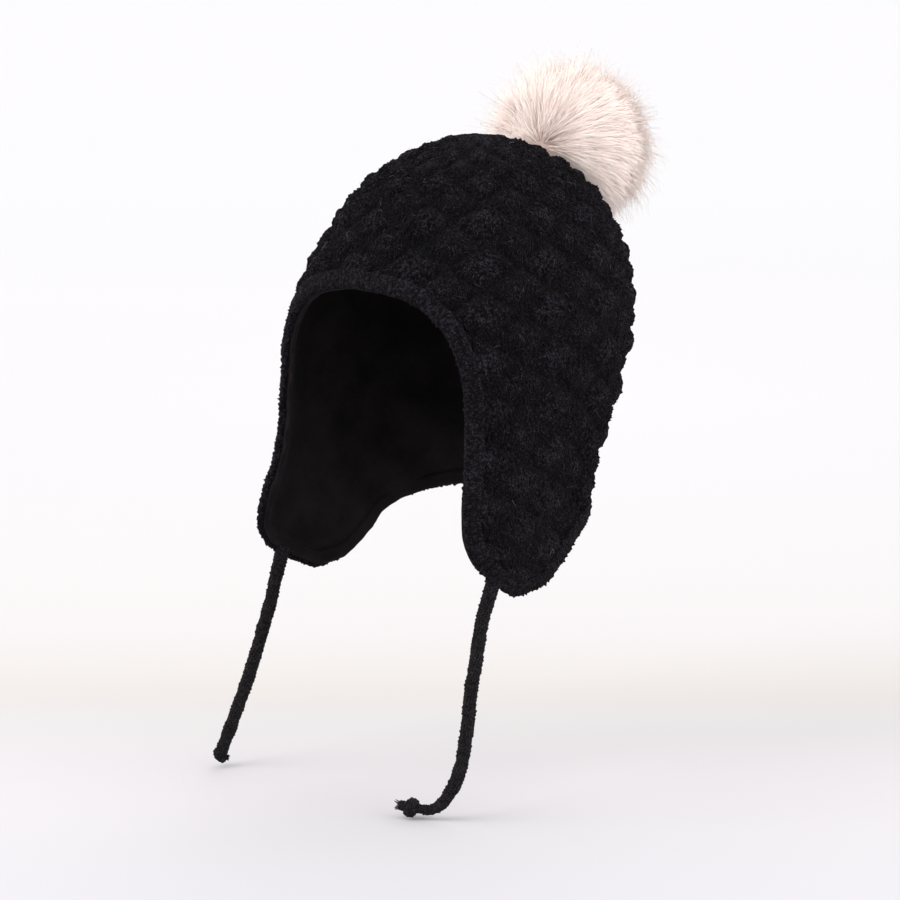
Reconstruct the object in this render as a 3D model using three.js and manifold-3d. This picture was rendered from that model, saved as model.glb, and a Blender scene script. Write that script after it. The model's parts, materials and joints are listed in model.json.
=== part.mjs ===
import * as THREE from 'three';
import { mergeVertices } from 'three/addons/utils/BufferGeometryUtils.js';
import Module from 'manifold-3d';

const wasm = await Module();
wasm.setup();

// Knitted earflap hat, in millimetres, +Z up, face opening towards -Y, wearer's left at +X.
// The origin is the highest inner point of the lining, where the crown of the head touches it.

// Crown and flaps
const crownHalfWidth = 88;
const crownHalfDepth = 103;
const hatDepth = 247;
const sidewaysTilt = 0.03;

// Walls
const knitThickness = 5;
const fleeceThickness = 2;
const clearance = 0.3;

// Diamond knit
const diamondsAround = 14;
const diamondHeight = 26;
const reliefAtFront = 1.8;
const reliefAtBack = 3.4;
const reliefFadeFromTop = 36;

// Ribbed edge band
const bandWidth = 10.5;
const bandSetback = 0.6;
const bandEdgeRadius = 2.6;

// Pompom
const pompomRadius = 47;
const pompomHeadRadius = 42;
const pompomLockRadius = 15;
const pompomLockCount = 38;
const pompomBehindTop = 80;
const pompomBelowTop = 8;

// Tie cords and their knots
const cordDiameter = 7.5;
const knotLobeRadius = 3.4;
const knotRingRadius = 3;
const knotTailLength = 11;

// Level sections of the crown and flaps, from the top down. Depth is a share of hatDepth, width of
// crownHalfWidth, and front, back and forward of crownHalfDepth. Flare is the share by which the
// cheek part of the flaps stands out.
const sections = [
  { depth: 0.000, width: 0.000, front: 0.000, back: 0.000, forward: 0.000, flare: 0.000 },
  { depth: 0.012, width: 0.225, front: 0.225, back: 0.225, forward: 0.002, flare: 0.000 },
  { depth: 0.032, width: 0.385, front: 0.375, back: 0.385, forward: 0.006, flare: 0.000 },
  { depth: 0.055, width: 0.500, front: 0.485, back: 0.505, forward: 0.010, flare: 0.000 },
  { depth: 0.090, width: 0.625, front: 0.600, back: 0.630, forward: 0.018, flare: 0.000 },
  { depth: 0.145, width: 0.765, front: 0.720, back: 0.775, forward: 0.030, flare: 0.000 },
  { depth: 0.200, width: 0.850, front: 0.800, back: 0.870, forward: 0.045, flare: 0.005 },
  { depth: 0.270, width: 0.930, front: 0.875, back: 0.955, forward: 0.060, flare: 0.020 },
  { depth: 0.350, width: 0.985, front: 0.930, back: 0.995, forward: 0.070, flare: 0.050 },
  { depth: 0.430, width: 1.000, front: 0.940, back: 0.975, forward: 0.070, flare: 0.095 },
  { depth: 0.510, width: 0.990, front: 0.930, back: 0.915, forward: 0.070, flare: 0.130 },
  { depth: 0.600, width: 0.975, front: 0.925, back: 0.800, forward: 0.070, flare: 0.155 },
  { depth: 0.690, width: 0.955, front: 0.922, back: 0.640, forward: 0.070, flare: 0.200 },
  { depth: 0.780, width: 0.925, front: 0.922, back: 0.550, forward: 0.070, flare: 0.290 },
  { depth: 0.870, width: 0.905, front: 0.922, back: 0.500, forward: 0.070, flare: 0.360 },
  { depth: 0.920, width: 0.895, front: 0.922, back: 0.480, forward: 0.070, flare: 0.345 },
  { depth: 0.960, width: 0.885, front: 0.922, back: 0.470, forward: 0.070, flare: 0.260 },
  { depth: 1.000, width: 0.880, front: 0.922, back: 0.470, forward: 0.070, flare: 0.130 },
];

// The rim from the middle of the forehead, round the cheek and under the flap, to the nape. Turn is
// in degrees from the front, depth is a share of hatDepth.
const rim = [
  { turn: 0.0, depth: 0.310 },
  { turn: 8.0, depth: 0.314 },
  { turn: 22.3, depth: 0.330 },
  { turn: 33.5, depth: 0.370 },
  { turn: 39.4, depth: 0.413 },
  { turn: 43.1, depth: 0.475 },
  { turn: 45.1, depth: 0.540 },
  { turn: 45.8, depth: 0.640 },
  { turn: 46.1, depth: 0.745 },
  { turn: 46.6, depth: 0.810 },
  { turn: 48.8, depth: 0.872 },
  { turn: 52.4, depth: 0.918 },
  { turn: 58.2, depth: 0.962 },
  { turn: 66.0, depth: 0.993 },
  { turn: 76.0, depth: 0.982 },
  { turn: 84.8, depth: 0.945 },
  { turn: 92.0, depth: 0.905 },
  { turn: 107.0, depth: 0.870 },
  { turn: 125.0, depth: 0.845 },
  { turn: 150.0, depth: 0.825 },
  { turn: 180.0, depth: 0.820 },
];

// The flare is fullest beside the cheek and dies out this many degrees away from there
const flareTurn = 48;
const flareReach = 44;

// Routes of the cords' middle lines, from inside the edge band to the knot
const leftCordRoute = [
  [79.2, -70.9, -222.8], [78.8, -71.7, -226.0], [78.1, -72.6, -230.0], [76.9, -73.5, -235.0],
  [75.3, -74.5, -242.0], [74.0, -75.3, -249.5], [72.8, -76.1, -259.0], [71.6, -76.8, -269.0],
  [70.3, -77.6, -277.5], [69.4, -78.2, -286.0], [68.8, -78.6, -294.0], [68.2, -79.0, -302.0],
  [67.3, -79.6, -310.0], [66.3, -80.2, -317.5], [64.8, -81.1, -325.5], [62.4, -82.6, -333.5],
  [59.0, -84.8, -341.0], [55.4, -87.0, -346.0], [51.2, -89.7, -348.9], [46.4, -92.7, -348.6],
];
const rightCordRoute = [
  [-79.6, -73.4, -226.2], [-79.8, -74.3, -229.6], [-80.2, -75.2, -233.2], [-80.9, -76.0, -238.0],
  [-82.3, -76.8, -244.0], [-83.7, -77.4, -251.0], [-85.3, -78.1, -258.0], [-87.6, -79.1, -266.0],
  [-90.1, -80.2, -275.0], [-92.7, -81.3, -284.0], [-95.4, -82.5, -293.0], [-98.2, -83.7, -302.0],
  [-101.2, -85.0, -310.5], [-104.2, -86.2, -319.0], [-107.2, -87.5, -327.5], [-110.2, -88.7, -335.5],
  [-112.8, -89.8, -343.0],
];

const allMaterials = {
  blackKnit: { color: 0x1b191b, roughness: 0.95, metalness: 0 },
  blackRib: { color: 0x171517, roughness: 0.95, metalness: 0 },
  blackFleece: { color: 0x0f0e10, roughness: 0.9, metalness: 0 },
  blushFur: { color: 0xe0cdc2, roughness: 0.8, metalness: 0 },
};

const wallThickness = knitThickness + clearance + fleeceThickness;
const fullTurn = 2 * Math.PI;

// Monotone cubic curve through one column of a table, by another
function curveThrough(rows, place, column) {
  const x = rows.map(place);
  const y = rows.map((row) => row[column]);
  const slope = x.slice(1).map((end, i) => (y[i + 1] - y[i]) / (end - x[i]));
  const tangent = x.map((_, i) => {
    const before = slope[Math.max(i - 1, 0)];
    const after = slope[Math.min(i, slope.length - 1)];
    return before * after > 0 ? (2 * before * after) / (before + after) : 0;
  });
  return (at) => {
    const clamped = Math.min(Math.max(at, x[0]), x[x.length - 1]);
    let i = 0;
    while (i < x.length - 2 && clamped > x[i + 1]) i += 1;
    const step = x[i + 1] - x[i];
    const s = (clamped - x[i]) / step;
    const stay = y[i] * (1 + 2 * s) * (1 - s) ** 2 + y[i + 1] * s * s * (3 - 2 * s);
    return stay + step * s * (1 - s) * (tangent[i] * (1 - s) - tangent[i + 1] * s);
  };
}

// Curves run over the root of the depth, so that the crown is round at its top
const rootOfDepth = (row) => Math.sqrt(row.depth);
const shape = {};
for (const column of ['width', 'front', 'back', 'forward', 'flare']) {
  shape[column] = curveThrough(sections, rootOfDepth, column);
}
const axisForward = shape.forward(1) * crownHalfDepth;

// Outermost point of the knit at a turn from the front, in radians, and a root of depth
function outerPoint(turn, root) {
  const toFlare = (Math.abs(turn) * 180) / Math.PI - flareTurn;
  const swell = Math.abs(toFlare) < flareReach ? Math.cos((Math.PI / 2) * (toFlare / flareReach)) ** 2 : 0;
  const out = 1 + shape.flare(root) * swell;
  const reach = Math.cos(turn) > 0 ? shape.front(root) : shape.back(root);
  const x = crownHalfWidth * shape.width(root) * Math.sin(turn) * out;
  const y = -crownHalfDepth * (reach * Math.cos(turn) * out + shape.forward(root));
  return new THREE.Vector3(x, y, wallThickness - root * root * hatDepth + sidewaysTilt * x);
}

function outwardNormal(turn, root) {
  const step = 1e-3;
  const at = Math.max(root, 2 * step);
  const alongTurn = outerPoint(turn + step, at).sub(outerPoint(turn - step, at));
  const alongDepth = outerPoint(turn, at + step).sub(outerPoint(turn, at - step));
  return alongDepth.cross(alongTurn).normalize();
}

function wallPoint(turn, root, inset) {
  if (root === 0) return new THREE.Vector3(0, 0, wallThickness - inset);
  return outerPoint(turn, root).addScaledVector(outwardNormal(turn, root), -inset);
}

// Length along the crown from the top, on the mean of its four sides, and its inverse
const meridianSteps = 240;
const deepestRoot = 1.02;
const meridian = [{ root: 0, length: 0, radius: 0 }];
for (let i = 1; i <= meridianSteps; i += 1) {
  const last = meridian[i - 1];
  const root = (deepestRoot * i) / meridianSteps;
  const sides = (shape.front(root) + shape.back(root)) * crownHalfDepth;
  const radius = (sides + 2 * shape.width(root) * crownHalfWidth) / 4;
  const fall = (root * root - last.root * last.root) * hatDepth;
  meridian.push({ root, length: last.length + Math.hypot(fall, radius - last.radius), radius });
}
const meridianLength = meridian[meridianSteps].length;

function rootAtLength(length) {
  let i = 0;
  while (i < meridianSteps - 1 && meridian[i + 1].length < length) i += 1;
  const { root, length: start } = meridian[i];
  const next = meridian[i + 1];
  return root + ((next.root - root) * (length - start)) / (next.length - start);
}

// Height of the puffed diamonds, 0 in a crease and 1 on a crest
function puff(around, down) {
  const rising = Math.sin(Math.PI * (around + down));
  const falling = Math.sin(Math.PI * (around - down));
  return Math.abs(rising * falling) ** 0.6;
}

function creaseDepth(turn, length) {
  const backward = (1 - Math.cos(turn)) / 2;
  const relief = reliefAtFront + (reliefAtBack - reliefAtFront) * backward;
  const fade = Math.min(1, length / reliefFadeFromTop);
  const around = (turn / fullTurn) * diamondsAround;
  return relief * fade * (1 - puff(around, length / diamondHeight));
}

function manifoldFrom(points, faces) {
  const vertProperties = new Float32Array(points.flatMap((p) => [p.x, p.y, p.z]));
  const mesh = new wasm.Mesh({ numProp: 3, vertProperties, triVerts: new Uint32Array(faces.flat()) });
  return new wasm.Manifold(mesh);
}

function manifoldFromGeometry(geometry) {
  const bare = geometry.clone();
  bare.deleteAttribute('normal');
  bare.deleteAttribute('uv');
  const merged = mergeVertices(bare, 1e-4);
  const vertProperties = new Float32Array(merged.attributes.position.array);
  const triVerts = new Uint32Array(merged.index.array);
  return new wasm.Manifold(new wasm.Mesh({ numProp: 3, vertProperties, triVerts }));
}

// Solid dome under a skin of rows and columns, closed by a flat fan underneath
function dome(columns, rows, pointAt) {
  const points = [pointAt(0, 0)];
  for (let row = 1; row <= rows; row += 1) {
    for (let column = 0; column < columns; column += 1) points.push(pointAt(row, column));
  }
  const middle = new THREE.Vector3();
  for (const point of points.slice(-columns)) middle.addScaledVector(point, 1 / columns);
  points.push(middle);
  const at = (row, column) => 1 + (row - 1) * columns + (column % columns);
  const faces = [];
  for (let column = 0; column < columns; column += 1) {
    faces.push([0, at(1, column), at(1, column + 1)]);
    faces.push([points.length - 1, at(rows, column + 1), at(rows, column)]);
  }
  for (let row = 1; row < rows; row += 1) {
    for (let column = 0; column < columns; column += 1) {
      const a = at(row, column);
      const b = at(row, column + 1);
      const c = at(row + 1, column + 1);
      const d = at(row + 1, column);
      const inAcross = points[a].distanceToSquared(middle) + points[c].distanceToSquared(middle);
      const inBack = points[b].distanceToSquared(middle) + points[d].distanceToSquared(middle);
      if (inAcross < inBack) faces.push([a, d, c], [a, c, b]);
      else faces.push([a, d, b], [b, d, c]);
    }
  }
  return manifoldFrom(points, faces);
}

// The knit's outer face has four steps to each diamond, in both directions
const knitColumns = diamondsAround * 4;
const knitRows = Math.floor(meridianLength / (diamondHeight / 4));

function knitSkin() {
  return dome(knitColumns, knitRows, (row, column) => {
    const turn = (column / knitColumns - 0.5) * fullTurn;
    const length = row * (diamondHeight / 4);
    return wallPoint(turn, rootAtLength(length), creaseDepth(turn, length));
  });
}

// Smooth faces share one coarser grid, so that they stay parallel to each other
const smoothColumns = 24;
const smoothRows = 14;

function smoothSkin(inset, extraDepth, columns = smoothColumns, rows = smoothRows) {
  return dome(columns, rows, (row, column) => {
    const turn = (column / columns - 0.5) * fullTurn;
    const root = rootAtLength((row / rows) * meridianLength);
    const point = wallPoint(turn, root, inset);
    if (row === rows) point.z -= extraDepth;
    return point;
  });
}

// Stations along the whole rim, evenly spaced, each with its outward normal and its direction
// into the cloth
const rimStations = 96;
const rimStation = (() => {
  const place = (row) => rim.indexOf(row);
  const turnAt = curveThrough(rim, place, 'turn');
  const depthAt = curveThrough(rim, place, 'depth');
  const fine = 40;
  const track = [];
  for (let i = -(rim.length - 1) * fine; i < (rim.length - 1) * fine; i += 1) {
    const along = Math.abs(i) / fine;
    const turn = (Math.sign(i) * turnAt(along) * Math.PI) / 180;
    const root = Math.sqrt(depthAt(along));
    track.push({ turn, root, point: wallPoint(turn, root, 0) });
  }
  const lengths = [0];
  for (let i = 1; i <= track.length; i += 1) {
    lengths.push(lengths[i - 1] + track[i % track.length].point.distanceTo(track[i - 1].point));
  }
  const whole = lengths[track.length];
  const picked = [];
  for (let k = 0, i = 0; k < rimStations; k += 1) {
    while (lengths[i + 1] < (whole * k) / rimStations) i += 1;
    picked.push(track[i]);
  }
  return picked.map(({ turn, root, point }, k) => {
    const before = picked[(k + rimStations - 1) % rimStations].point;
    const after = picked[(k + 1) % rimStations].point;
    const along = after.clone().sub(before).normalize();
    const normal = outwardNormal(turn, root);
    return { point, normal, inward: normal.clone().cross(along).normalize() };
  });
})();

// Point beside a rim station: into the cloth from the edge, and inset below the outer face
function besideRim({ point, normal, inward }, fromEdge, inset) {
  return point.clone().addScaledVector(inward, fromEdge).addScaledVector(normal, -inset);
}

// Closed ring with the same section at every station
function ring(stations, sectionAt) {
  const loops = stations.map(sectionAt);
  const sides = loops[0].length;
  const faces = [];
  for (let k = 0; k < loops.length; k += 1) {
    for (let j = 0; j < sides; j += 1) {
      const next = (k + 1) % loops.length;
      const a = k * sides + j;
      const b = k * sides + ((j + 1) % sides);
      const c = next * sides + ((j + 1) % sides);
      const d = next * sides + j;
      faces.push([a, b, c], [a, c, d]);
    }
  }
  return manifoldFrom(loops.flat(), faces);
}

// Section of the round-edged strip, from the rim up to bandWidth and through the whole wall
function bandOutline(grow) {
  const top = bandWidth + grow;
  const outer = bandSetback - grow;
  const inner = wallThickness + bandSetback + grow;
  const round = bandEdgeRadius;
  return [
    [top, outer], [round - grow, outer], [0.3 * round - grow, outer + 0.35 * round],
    [-grow, outer + round], [-grow, inner - round], [0.3 * round - grow, inner - 0.35 * round],
    [round - grow, inner], [top, inner],
  ];
}

function bandRing(grow) {
  return ring(rimStation, (station) => bandOutline(grow).map(([a, b]) => besideRim(station, a, b)));
}

// Tool that frees the band's room, and one for all the room below it, cut straight at the axis
function bandRoom() {
  const above = bandWidth + clearance;
  const inner = wallThickness + bandSetback;
  const outline = [[above, -9], [1, -9], [1, 18], [above, 18], [above, inner], [above, bandSetback]];
  return ring(rimStation, (station) => outline.map(([a, b]) => besideRim(station, a, b)));
}

function roomBelowRim() {
  const raise = 6;
  const nearAxis = 20;
  const farOut = 2.2 * crownHalfDepth;
  const floor = -1.3 * hatDepth;
  return ring(rimStation, (station) => {
    const { x, y, z } = besideRim(station, raise, 0);
    const turn = Math.atan2(x, -(y + axisForward));
    const at = (radius, level) =>
      new THREE.Vector3(radius * Math.sin(turn), -radius * Math.cos(turn) - axisForward, level);
    return [at(nearAxis, z), at(farOut, z), at(farOut, floor), at(nearAxis, floor)];
  });
}

const bandSpace = bandRoom();
const lowerSpace = roomBelowRim();

function knitShellSolid() {
  const hollow = smoothSkin(knitThickness, 20);
  return knitSkin().subtract(hollow).subtract(bandSpace).subtract(lowerSpace);
}

function fleeceLiningSolid() {
  const skin = smoothSkin(knitThickness + clearance, 0);
  const hollow = smoothSkin(wallThickness, 20);
  return skin.subtract(hollow).subtract(bandSpace).subtract(lowerSpace);
}

// Pointed locks spread evenly over a round head, then trimmed where they lie on the crown
const pompomCentre = new THREE.Vector3(0, pompomBehindTop, wallThickness - pompomBelowTop);

function pompomSolid() {
  let solid = manifoldFromGeometry(new THREE.IcosahedronGeometry(pompomHeadRadius, 2));
  const goldenTurn = Math.PI * (3 - Math.sqrt(5));
  const up = new THREE.Vector3(0, 1, 0);
  for (let i = 0; i < pompomLockCount; i += 1) {
    const level = 1 - (2 * (i + 0.5)) / pompomLockCount;
    const flat = Math.sqrt(1 - level * level);
    const lean = new THREE.Vector3(flat * Math.cos(i * goldenTurn), flat * Math.sin(i * goldenTurn), level);
    const length = pompomRadius - 0.75 * pompomHeadRadius;
    const lock = new THREE.ConeGeometry(pompomLockRadius, length, 5, 1);
    lock.rotateY(i * goldenTurn);
    lock.translate(0, 0.75 * pompomHeadRadius + length / 2, 0);
    lock.applyQuaternion(new THREE.Quaternion().setFromUnitVectors(up, lean));
    solid = solid.add(manifoldFromGeometry(lock));
  }
  const { x, y, z } = pompomCentre;
  return solid.translate([x, y, z]).subtract(smoothSkin(-clearance, 0, knitColumns, knitRows));
}

function routeCurve(route) {
  return new THREE.CatmullRomCurve3(route.map((point) => new THREE.Vector3(...point)), false, 'centripetal');
}

// Round section of a cord or of a hole for it, along a part of a route
function tubeAlong(curve, diameter, steps) {
  const sides = 10;
  const section = new THREE.Shape();
  for (let i = 0; i < sides; i += 1) {
    const angle = (i / sides) * fullTurn;
    const [x, y] = [(diameter / 2) * Math.cos(angle), (diameter / 2) * Math.sin(angle)];
    if (i === 0) section.moveTo(x, y);
    else section.lineTo(x, y);
  }
  section.closePath();
  return new THREE.ExtrudeGeometry(section, { steps, extrudePath: curve });
}

// Cord sewn under the band, whose grown section shapes its upper end
function tieCordSolid(route) {
  const curve = routeCurve(route);
  const steps = Math.ceil(curve.getLength() / (1.5 * cordDiameter));
  return manifoldFromGeometry(tubeAlong(curve, cordDiameter, steps)).subtract(bandRing(clearance));
}

// Overhand knot at the cord's end: two crossed rings and a core, with the short tail standing out
function knotSolid(route, tailTurn) {
  const end = new THREE.Vector3(...route[route.length - 1]);
  const before = new THREE.Vector3(...route[route.length - 2]);
  const arriving = end.clone().sub(before).normalize();
  const centre = end.clone().addScaledVector(arriving, knotRingRadius + knotLobeRadius - 1);
  const turned = new THREE.Quaternion().setFromUnitVectors(new THREE.Vector3(0, 0, 1), arriving);
  const pieces = [0.5, -0.6].map((tilt) => {
    const lobe = new THREE.TorusGeometry(knotRingRadius, knotLobeRadius, 7, 9);
    lobe.rotateX(tilt);
    lobe.rotateZ(tilt * 2);
    return lobe;
  });
  pieces.push(new THREE.IcosahedronGeometry(knotRingRadius + 0.5 * knotLobeRadius, 1));
  const tail = new THREE.CylinderGeometry(cordDiameter * 0.36, cordDiameter * 0.5, knotTailLength, 8, 1);
  tail.translate(0, knotTailLength / 2, 0);
  tail.rotateX(Math.PI / 2);
  tail.rotateY(tailTurn);
  pieces.push(tail);
  const placed = pieces.map((geometry) => {
    geometry.applyQuaternion(turned);
    geometry.translate(centre.x, centre.y, centre.z);
    return manifoldFromGeometry(geometry);
  });
  const socket = new THREE.LineCurve3(before, end.clone().addScaledVector(arriving, clearance));
  const whole = placed.reduce((sum, piece) => sum.add(piece));
  return whole.subtract(manifoldFromGeometry(tubeAlong(socket, cordDiameter + 2 * clearance, 1)));
}

function geometryFrom(solid) {
  const { vertProperties, triVerts } = solid.getMesh();
  const geometry = new THREE.BufferGeometry();
  geometry.setAttribute('position', new THREE.BufferAttribute(new Float32Array(vertProperties), 3));
  geometry.setIndex(new THREE.BufferAttribute(new Uint32Array(triVerts), 1));
  geometry.computeVertexNormals();
  return geometry;
}

const hat = new THREE.Group();

function addPiece(name, geometry, materialName) {
  const material = new THREE.MeshStandardMaterial(allMaterials[materialName]);
  material.name = materialName;
  const mesh = new THREE.Mesh(geometry, material);
  mesh.name = name;
  hat.add(mesh);
}

addPiece('knit_shell', geometryFrom(knitShellSolid()), 'blackKnit');
addPiece('rim_band', geometryFrom(bandRing(0)), 'blackRib');
addPiece('fleece_lining', geometryFrom(fleeceLiningSolid()), 'blackFleece');
addPiece('fur_pompom', geometryFrom(pompomSolid()), 'blushFur');

for (const [side, route, tailTurn] of [['left', leftCordRoute, 0.5], ['right', rightCordRoute, 1.5]]) {
  addPiece(`tie_cord_${side}`, geometryFrom(tieCordSolid(route)), 'blackRib');
  addPiece(`tie_knot_${side}`, geometryFrom(knotSolid(route, tailTurn)), 'blackRib');
}

export default hat;
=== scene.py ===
import json
import bpy
import numpy as np
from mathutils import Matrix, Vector

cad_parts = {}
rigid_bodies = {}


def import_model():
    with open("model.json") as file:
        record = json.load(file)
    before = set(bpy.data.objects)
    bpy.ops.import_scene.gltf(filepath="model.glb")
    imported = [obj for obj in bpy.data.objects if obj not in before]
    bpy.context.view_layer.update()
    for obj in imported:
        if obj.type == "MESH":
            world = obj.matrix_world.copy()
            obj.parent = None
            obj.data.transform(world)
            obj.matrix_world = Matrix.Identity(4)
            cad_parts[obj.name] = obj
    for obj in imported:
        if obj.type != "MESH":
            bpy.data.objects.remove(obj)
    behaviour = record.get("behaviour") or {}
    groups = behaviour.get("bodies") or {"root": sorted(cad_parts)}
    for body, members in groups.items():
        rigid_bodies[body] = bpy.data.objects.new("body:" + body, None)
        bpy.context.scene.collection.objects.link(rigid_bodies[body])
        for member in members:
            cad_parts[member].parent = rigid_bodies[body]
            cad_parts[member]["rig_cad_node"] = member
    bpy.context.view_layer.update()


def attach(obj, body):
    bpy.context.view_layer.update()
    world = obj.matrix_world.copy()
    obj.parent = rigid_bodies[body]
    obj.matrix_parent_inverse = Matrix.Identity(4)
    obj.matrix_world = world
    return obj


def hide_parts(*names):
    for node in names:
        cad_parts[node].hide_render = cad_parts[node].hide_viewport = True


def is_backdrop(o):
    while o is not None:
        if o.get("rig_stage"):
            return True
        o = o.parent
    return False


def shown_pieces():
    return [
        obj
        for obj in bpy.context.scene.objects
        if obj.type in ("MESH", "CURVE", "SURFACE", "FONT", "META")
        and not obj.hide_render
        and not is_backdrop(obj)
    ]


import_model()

# Lined earflap hat in puffed diamond knit, with a ribbed edge band, two tie cords and a fur pompom.
# Metres, +Z up, face opening towards -Y, wearer's left at +X, origin at the lining's highest inner point.

scene = bpy.context.scene
chance = np.random.default_rng(11)


# sRGB hex to linear: below 0.04045 divided by 12.92, above it a power of 2.4
def toLinear(colour):
    shares = np.array([int(colour[i:i + 2], 16) for i in (1, 3, 5)]) / 255
    linear = np.where(shares <= 0.04045, shares / 12.92, ((shares + 0.055) / 1.055) ** 2.4)
    return (*linear.tolist(), 1.0)


# Adds one node with its settings, its sockets' values and its links
def addNode(tree, kind, values=None, links=None, **settings):
    node = tree.nodes.new(kind)
    for name, value in settings.items():
        setattr(node, name, value)
    for socket, value in (values or {}).items():
        node.inputs[socket].default_value = value
    for socket, source in (links or {}).items():
        tree.links.new(source, node.inputs[socket])
    return node


# An empty material and its node tree
def newMaterial(name):
    material = bpy.data.materials.new(name)
    material.use_nodes = True
    material.node_tree.nodes.clear()
    return material, material.node_tree


def unit(vectors):
    return vectors / np.maximum(np.linalg.norm(vectors, axis=-1, keepdims=True), 1e-12)


# 0 before low, 1 after high, and 3s^2 - 2s^3 between
def smooth(low, high, value):
    s = np.clip((value - low) / (high - low), 0, 1)
    return s * s * (3 - 2 * s)


# The same odd-looking share from 0 to 1 each time for a pair of whole numbers
def speck(a, b, seed):
    value = np.sin(a * 12.9898 + b * 78.233 + seed * 37.719) * 43758.5453
    return value - np.floor(value)


# Random heights on a lattice of whole numbers, blended smoothly between; x starts again at wrap
def patchy(x, y, wrap, seed):
    i, j = np.floor(x), np.floor(y)
    s, t = smooth(0, 1, x - i), smooth(0, 1, y - j)
    low = speck(i % wrap, j, seed) * (1 - s) + speck((i + 1) % wrap, j, seed) * s
    high = speck(i % wrap, j + 1, seed) * (1 - s) + speck((i + 1) % wrap, j + 1, seed) * s
    return low * (1 - t) + high * t


# Puts points and arrays of triangles and quads into one mesh at the origin
def meshFrom(name, points, faceSets):
    faceSets = [faces for faces in faceSets if len(faces)]
    corners = np.concatenate([faces.ravel() for faces in faceSets]).astype(np.int32)
    sizes = np.concatenate([np.full(len(faces), faces.shape[1]) for faces in faceSets]).astype(np.int32)
    mesh = bpy.data.meshes.new(name)
    mesh.vertices.add(len(points))
    mesh.vertices.foreach_set("co", points.astype(np.float32).ravel())
    mesh.loops.add(len(corners))
    mesh.loops.foreach_set("vertex_index", corners)
    mesh.polygons.add(len(sizes))
    starts = np.concatenate([[0], np.cumsum(sizes)[:-1]]).astype(np.int32)
    mesh.polygons.foreach_set("loop_start", starts)
    mesh.polygons.foreach_set("use_smooth", np.ones(len(sizes), bool))
    mesh.update(calc_edges=True)
    made = bpy.data.objects.new(name, mesh)
    scene.collection.objects.link(made)
    return made


# Corner values in the order of the faces, as the piece's own stitch map
def addStitchMap(piece, cornerSets):
    layer = piece.data.uv_layers.new(name="stitches")
    values = np.concatenate([corners.reshape(-1, 2) for corners in cornerSets if len(corners)])
    layer.data.foreach_set("uv", values.astype(np.float32).ravel())


def addPointValue(piece, name, values):
    attribute = piece.data.attributes.new(name, "FLOAT", "POINT")
    attribute.data.foreach_set("value", np.asarray(values, np.float32).ravel())


def dress(piece, material, slotName, *nodes):
    piece.data.materials.append(material)
    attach(piece, "root")
    if nodes:
        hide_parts(*nodes)


# Faces of a grid of rows and columns, outward where rows run down and columns run with the turn, and
# each corner's column and row as numbers that don't start again at a seam
def gridFaces(rows, columns, wrap=True, wrapRows=False):
    row, column = np.meshgrid(np.arange(rows if wrapRows else rows - 1),
                              np.arange(columns if wrap else columns - 1), indexing="ij")
    row, column = row.ravel(), column.ravel()
    corner = [(0, 0), (1, 0), (1, 1), (0, 1)]
    quads = np.stack([(row + r) % rows * columns + (column + c) % columns for r, c in corner], -1)
    places = np.stack([np.stack([column + c, row + r], -1) for r, c in corner], 1).astype(float)
    return quads, places


scene.view_settings.view_transform = "Standard"

photoView = {
    "place": (1.18460, -1.27754, 0.10557),
    "target": (-0.00153, -0.01860, -0.16703),
    "lens": 126.075,
    "sensor": 36.0,
}
cameraData = bpy.data.cameras.new("photoCamera")
cameraData.lens = photoView["lens"]
cameraData.sensor_width = photoView["sensor"]
cameraData.clip_start, cameraData.clip_end = 0.05, 120
camera = bpy.data.objects.new("photoCamera", cameraData)
camera.location = photoView["place"]
sight = Vector(photoView["target"]) - Vector(photoView["place"])
camera.rotation_euler = sight.to_track_quat("-Z", "Y").to_euler()
scene.collection.objects.link(camera)
scene.camera = camera
print("camera placed")


# Form of the hat, as functions of the turn round the head and the root of the depth
hat = {
    "halfWidth": 0.088,
    "halfDepth": 0.103,
    "depth": 0.247,
    "sidewaysTilt": 0.03,
    "wall": 0.0073,
    "flareTurn": 48,
    "flareReach": 44,
    # share of depth, then width, front, back, forward and flare as shares of the half sizes
    "sections": [
        (0.000, 0.000, 0.000, 0.000, 0.000, 0.000), (0.012, 0.225, 0.225, 0.225, 0.002, 0.000),
        (0.032, 0.385, 0.375, 0.385, 0.006, 0.000), (0.055, 0.500, 0.485, 0.505, 0.010, 0.000),
        (0.090, 0.625, 0.600, 0.630, 0.018, 0.000), (0.145, 0.765, 0.720, 0.775, 0.030, 0.000),
        (0.200, 0.850, 0.800, 0.870, 0.045, 0.005), (0.270, 0.930, 0.875, 0.955, 0.060, 0.020),
        (0.350, 0.985, 0.930, 0.995, 0.070, 0.050), (0.430, 1.000, 0.940, 0.975, 0.070, 0.095),
        (0.510, 0.990, 0.930, 0.915, 0.070, 0.130), (0.600, 0.975, 0.925, 0.800, 0.070, 0.155),
        (0.690, 0.955, 0.922, 0.640, 0.070, 0.200), (0.780, 0.925, 0.922, 0.550, 0.070, 0.290),
        (0.870, 0.905, 0.922, 0.500, 0.070, 0.360), (0.920, 0.895, 0.922, 0.480, 0.070, 0.345),
        (0.960, 0.885, 0.922, 0.470, 0.070, 0.260), (1.000, 0.880, 0.922, 0.470, 0.070, 0.130),
    ],
    # degrees from the middle of the forehead, and the rim's depth there as a share
    "rim": [
        (0.0, 0.310), (8.0, 0.314), (22.3, 0.330), (33.5, 0.370), (39.4, 0.413), (43.1, 0.475),
        (45.1, 0.540), (45.8, 0.640), (46.1, 0.745), (46.6, 0.810), (48.8, 0.872), (52.4, 0.918),
        (58.2, 0.962), (66.0, 0.993), (76.0, 0.982), (84.8, 0.945), (92.0, 0.905), (107.0, 0.870),
        (125.0, 0.845), (150.0, 0.825), (180.0, 0.820),
    ],
}


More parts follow.
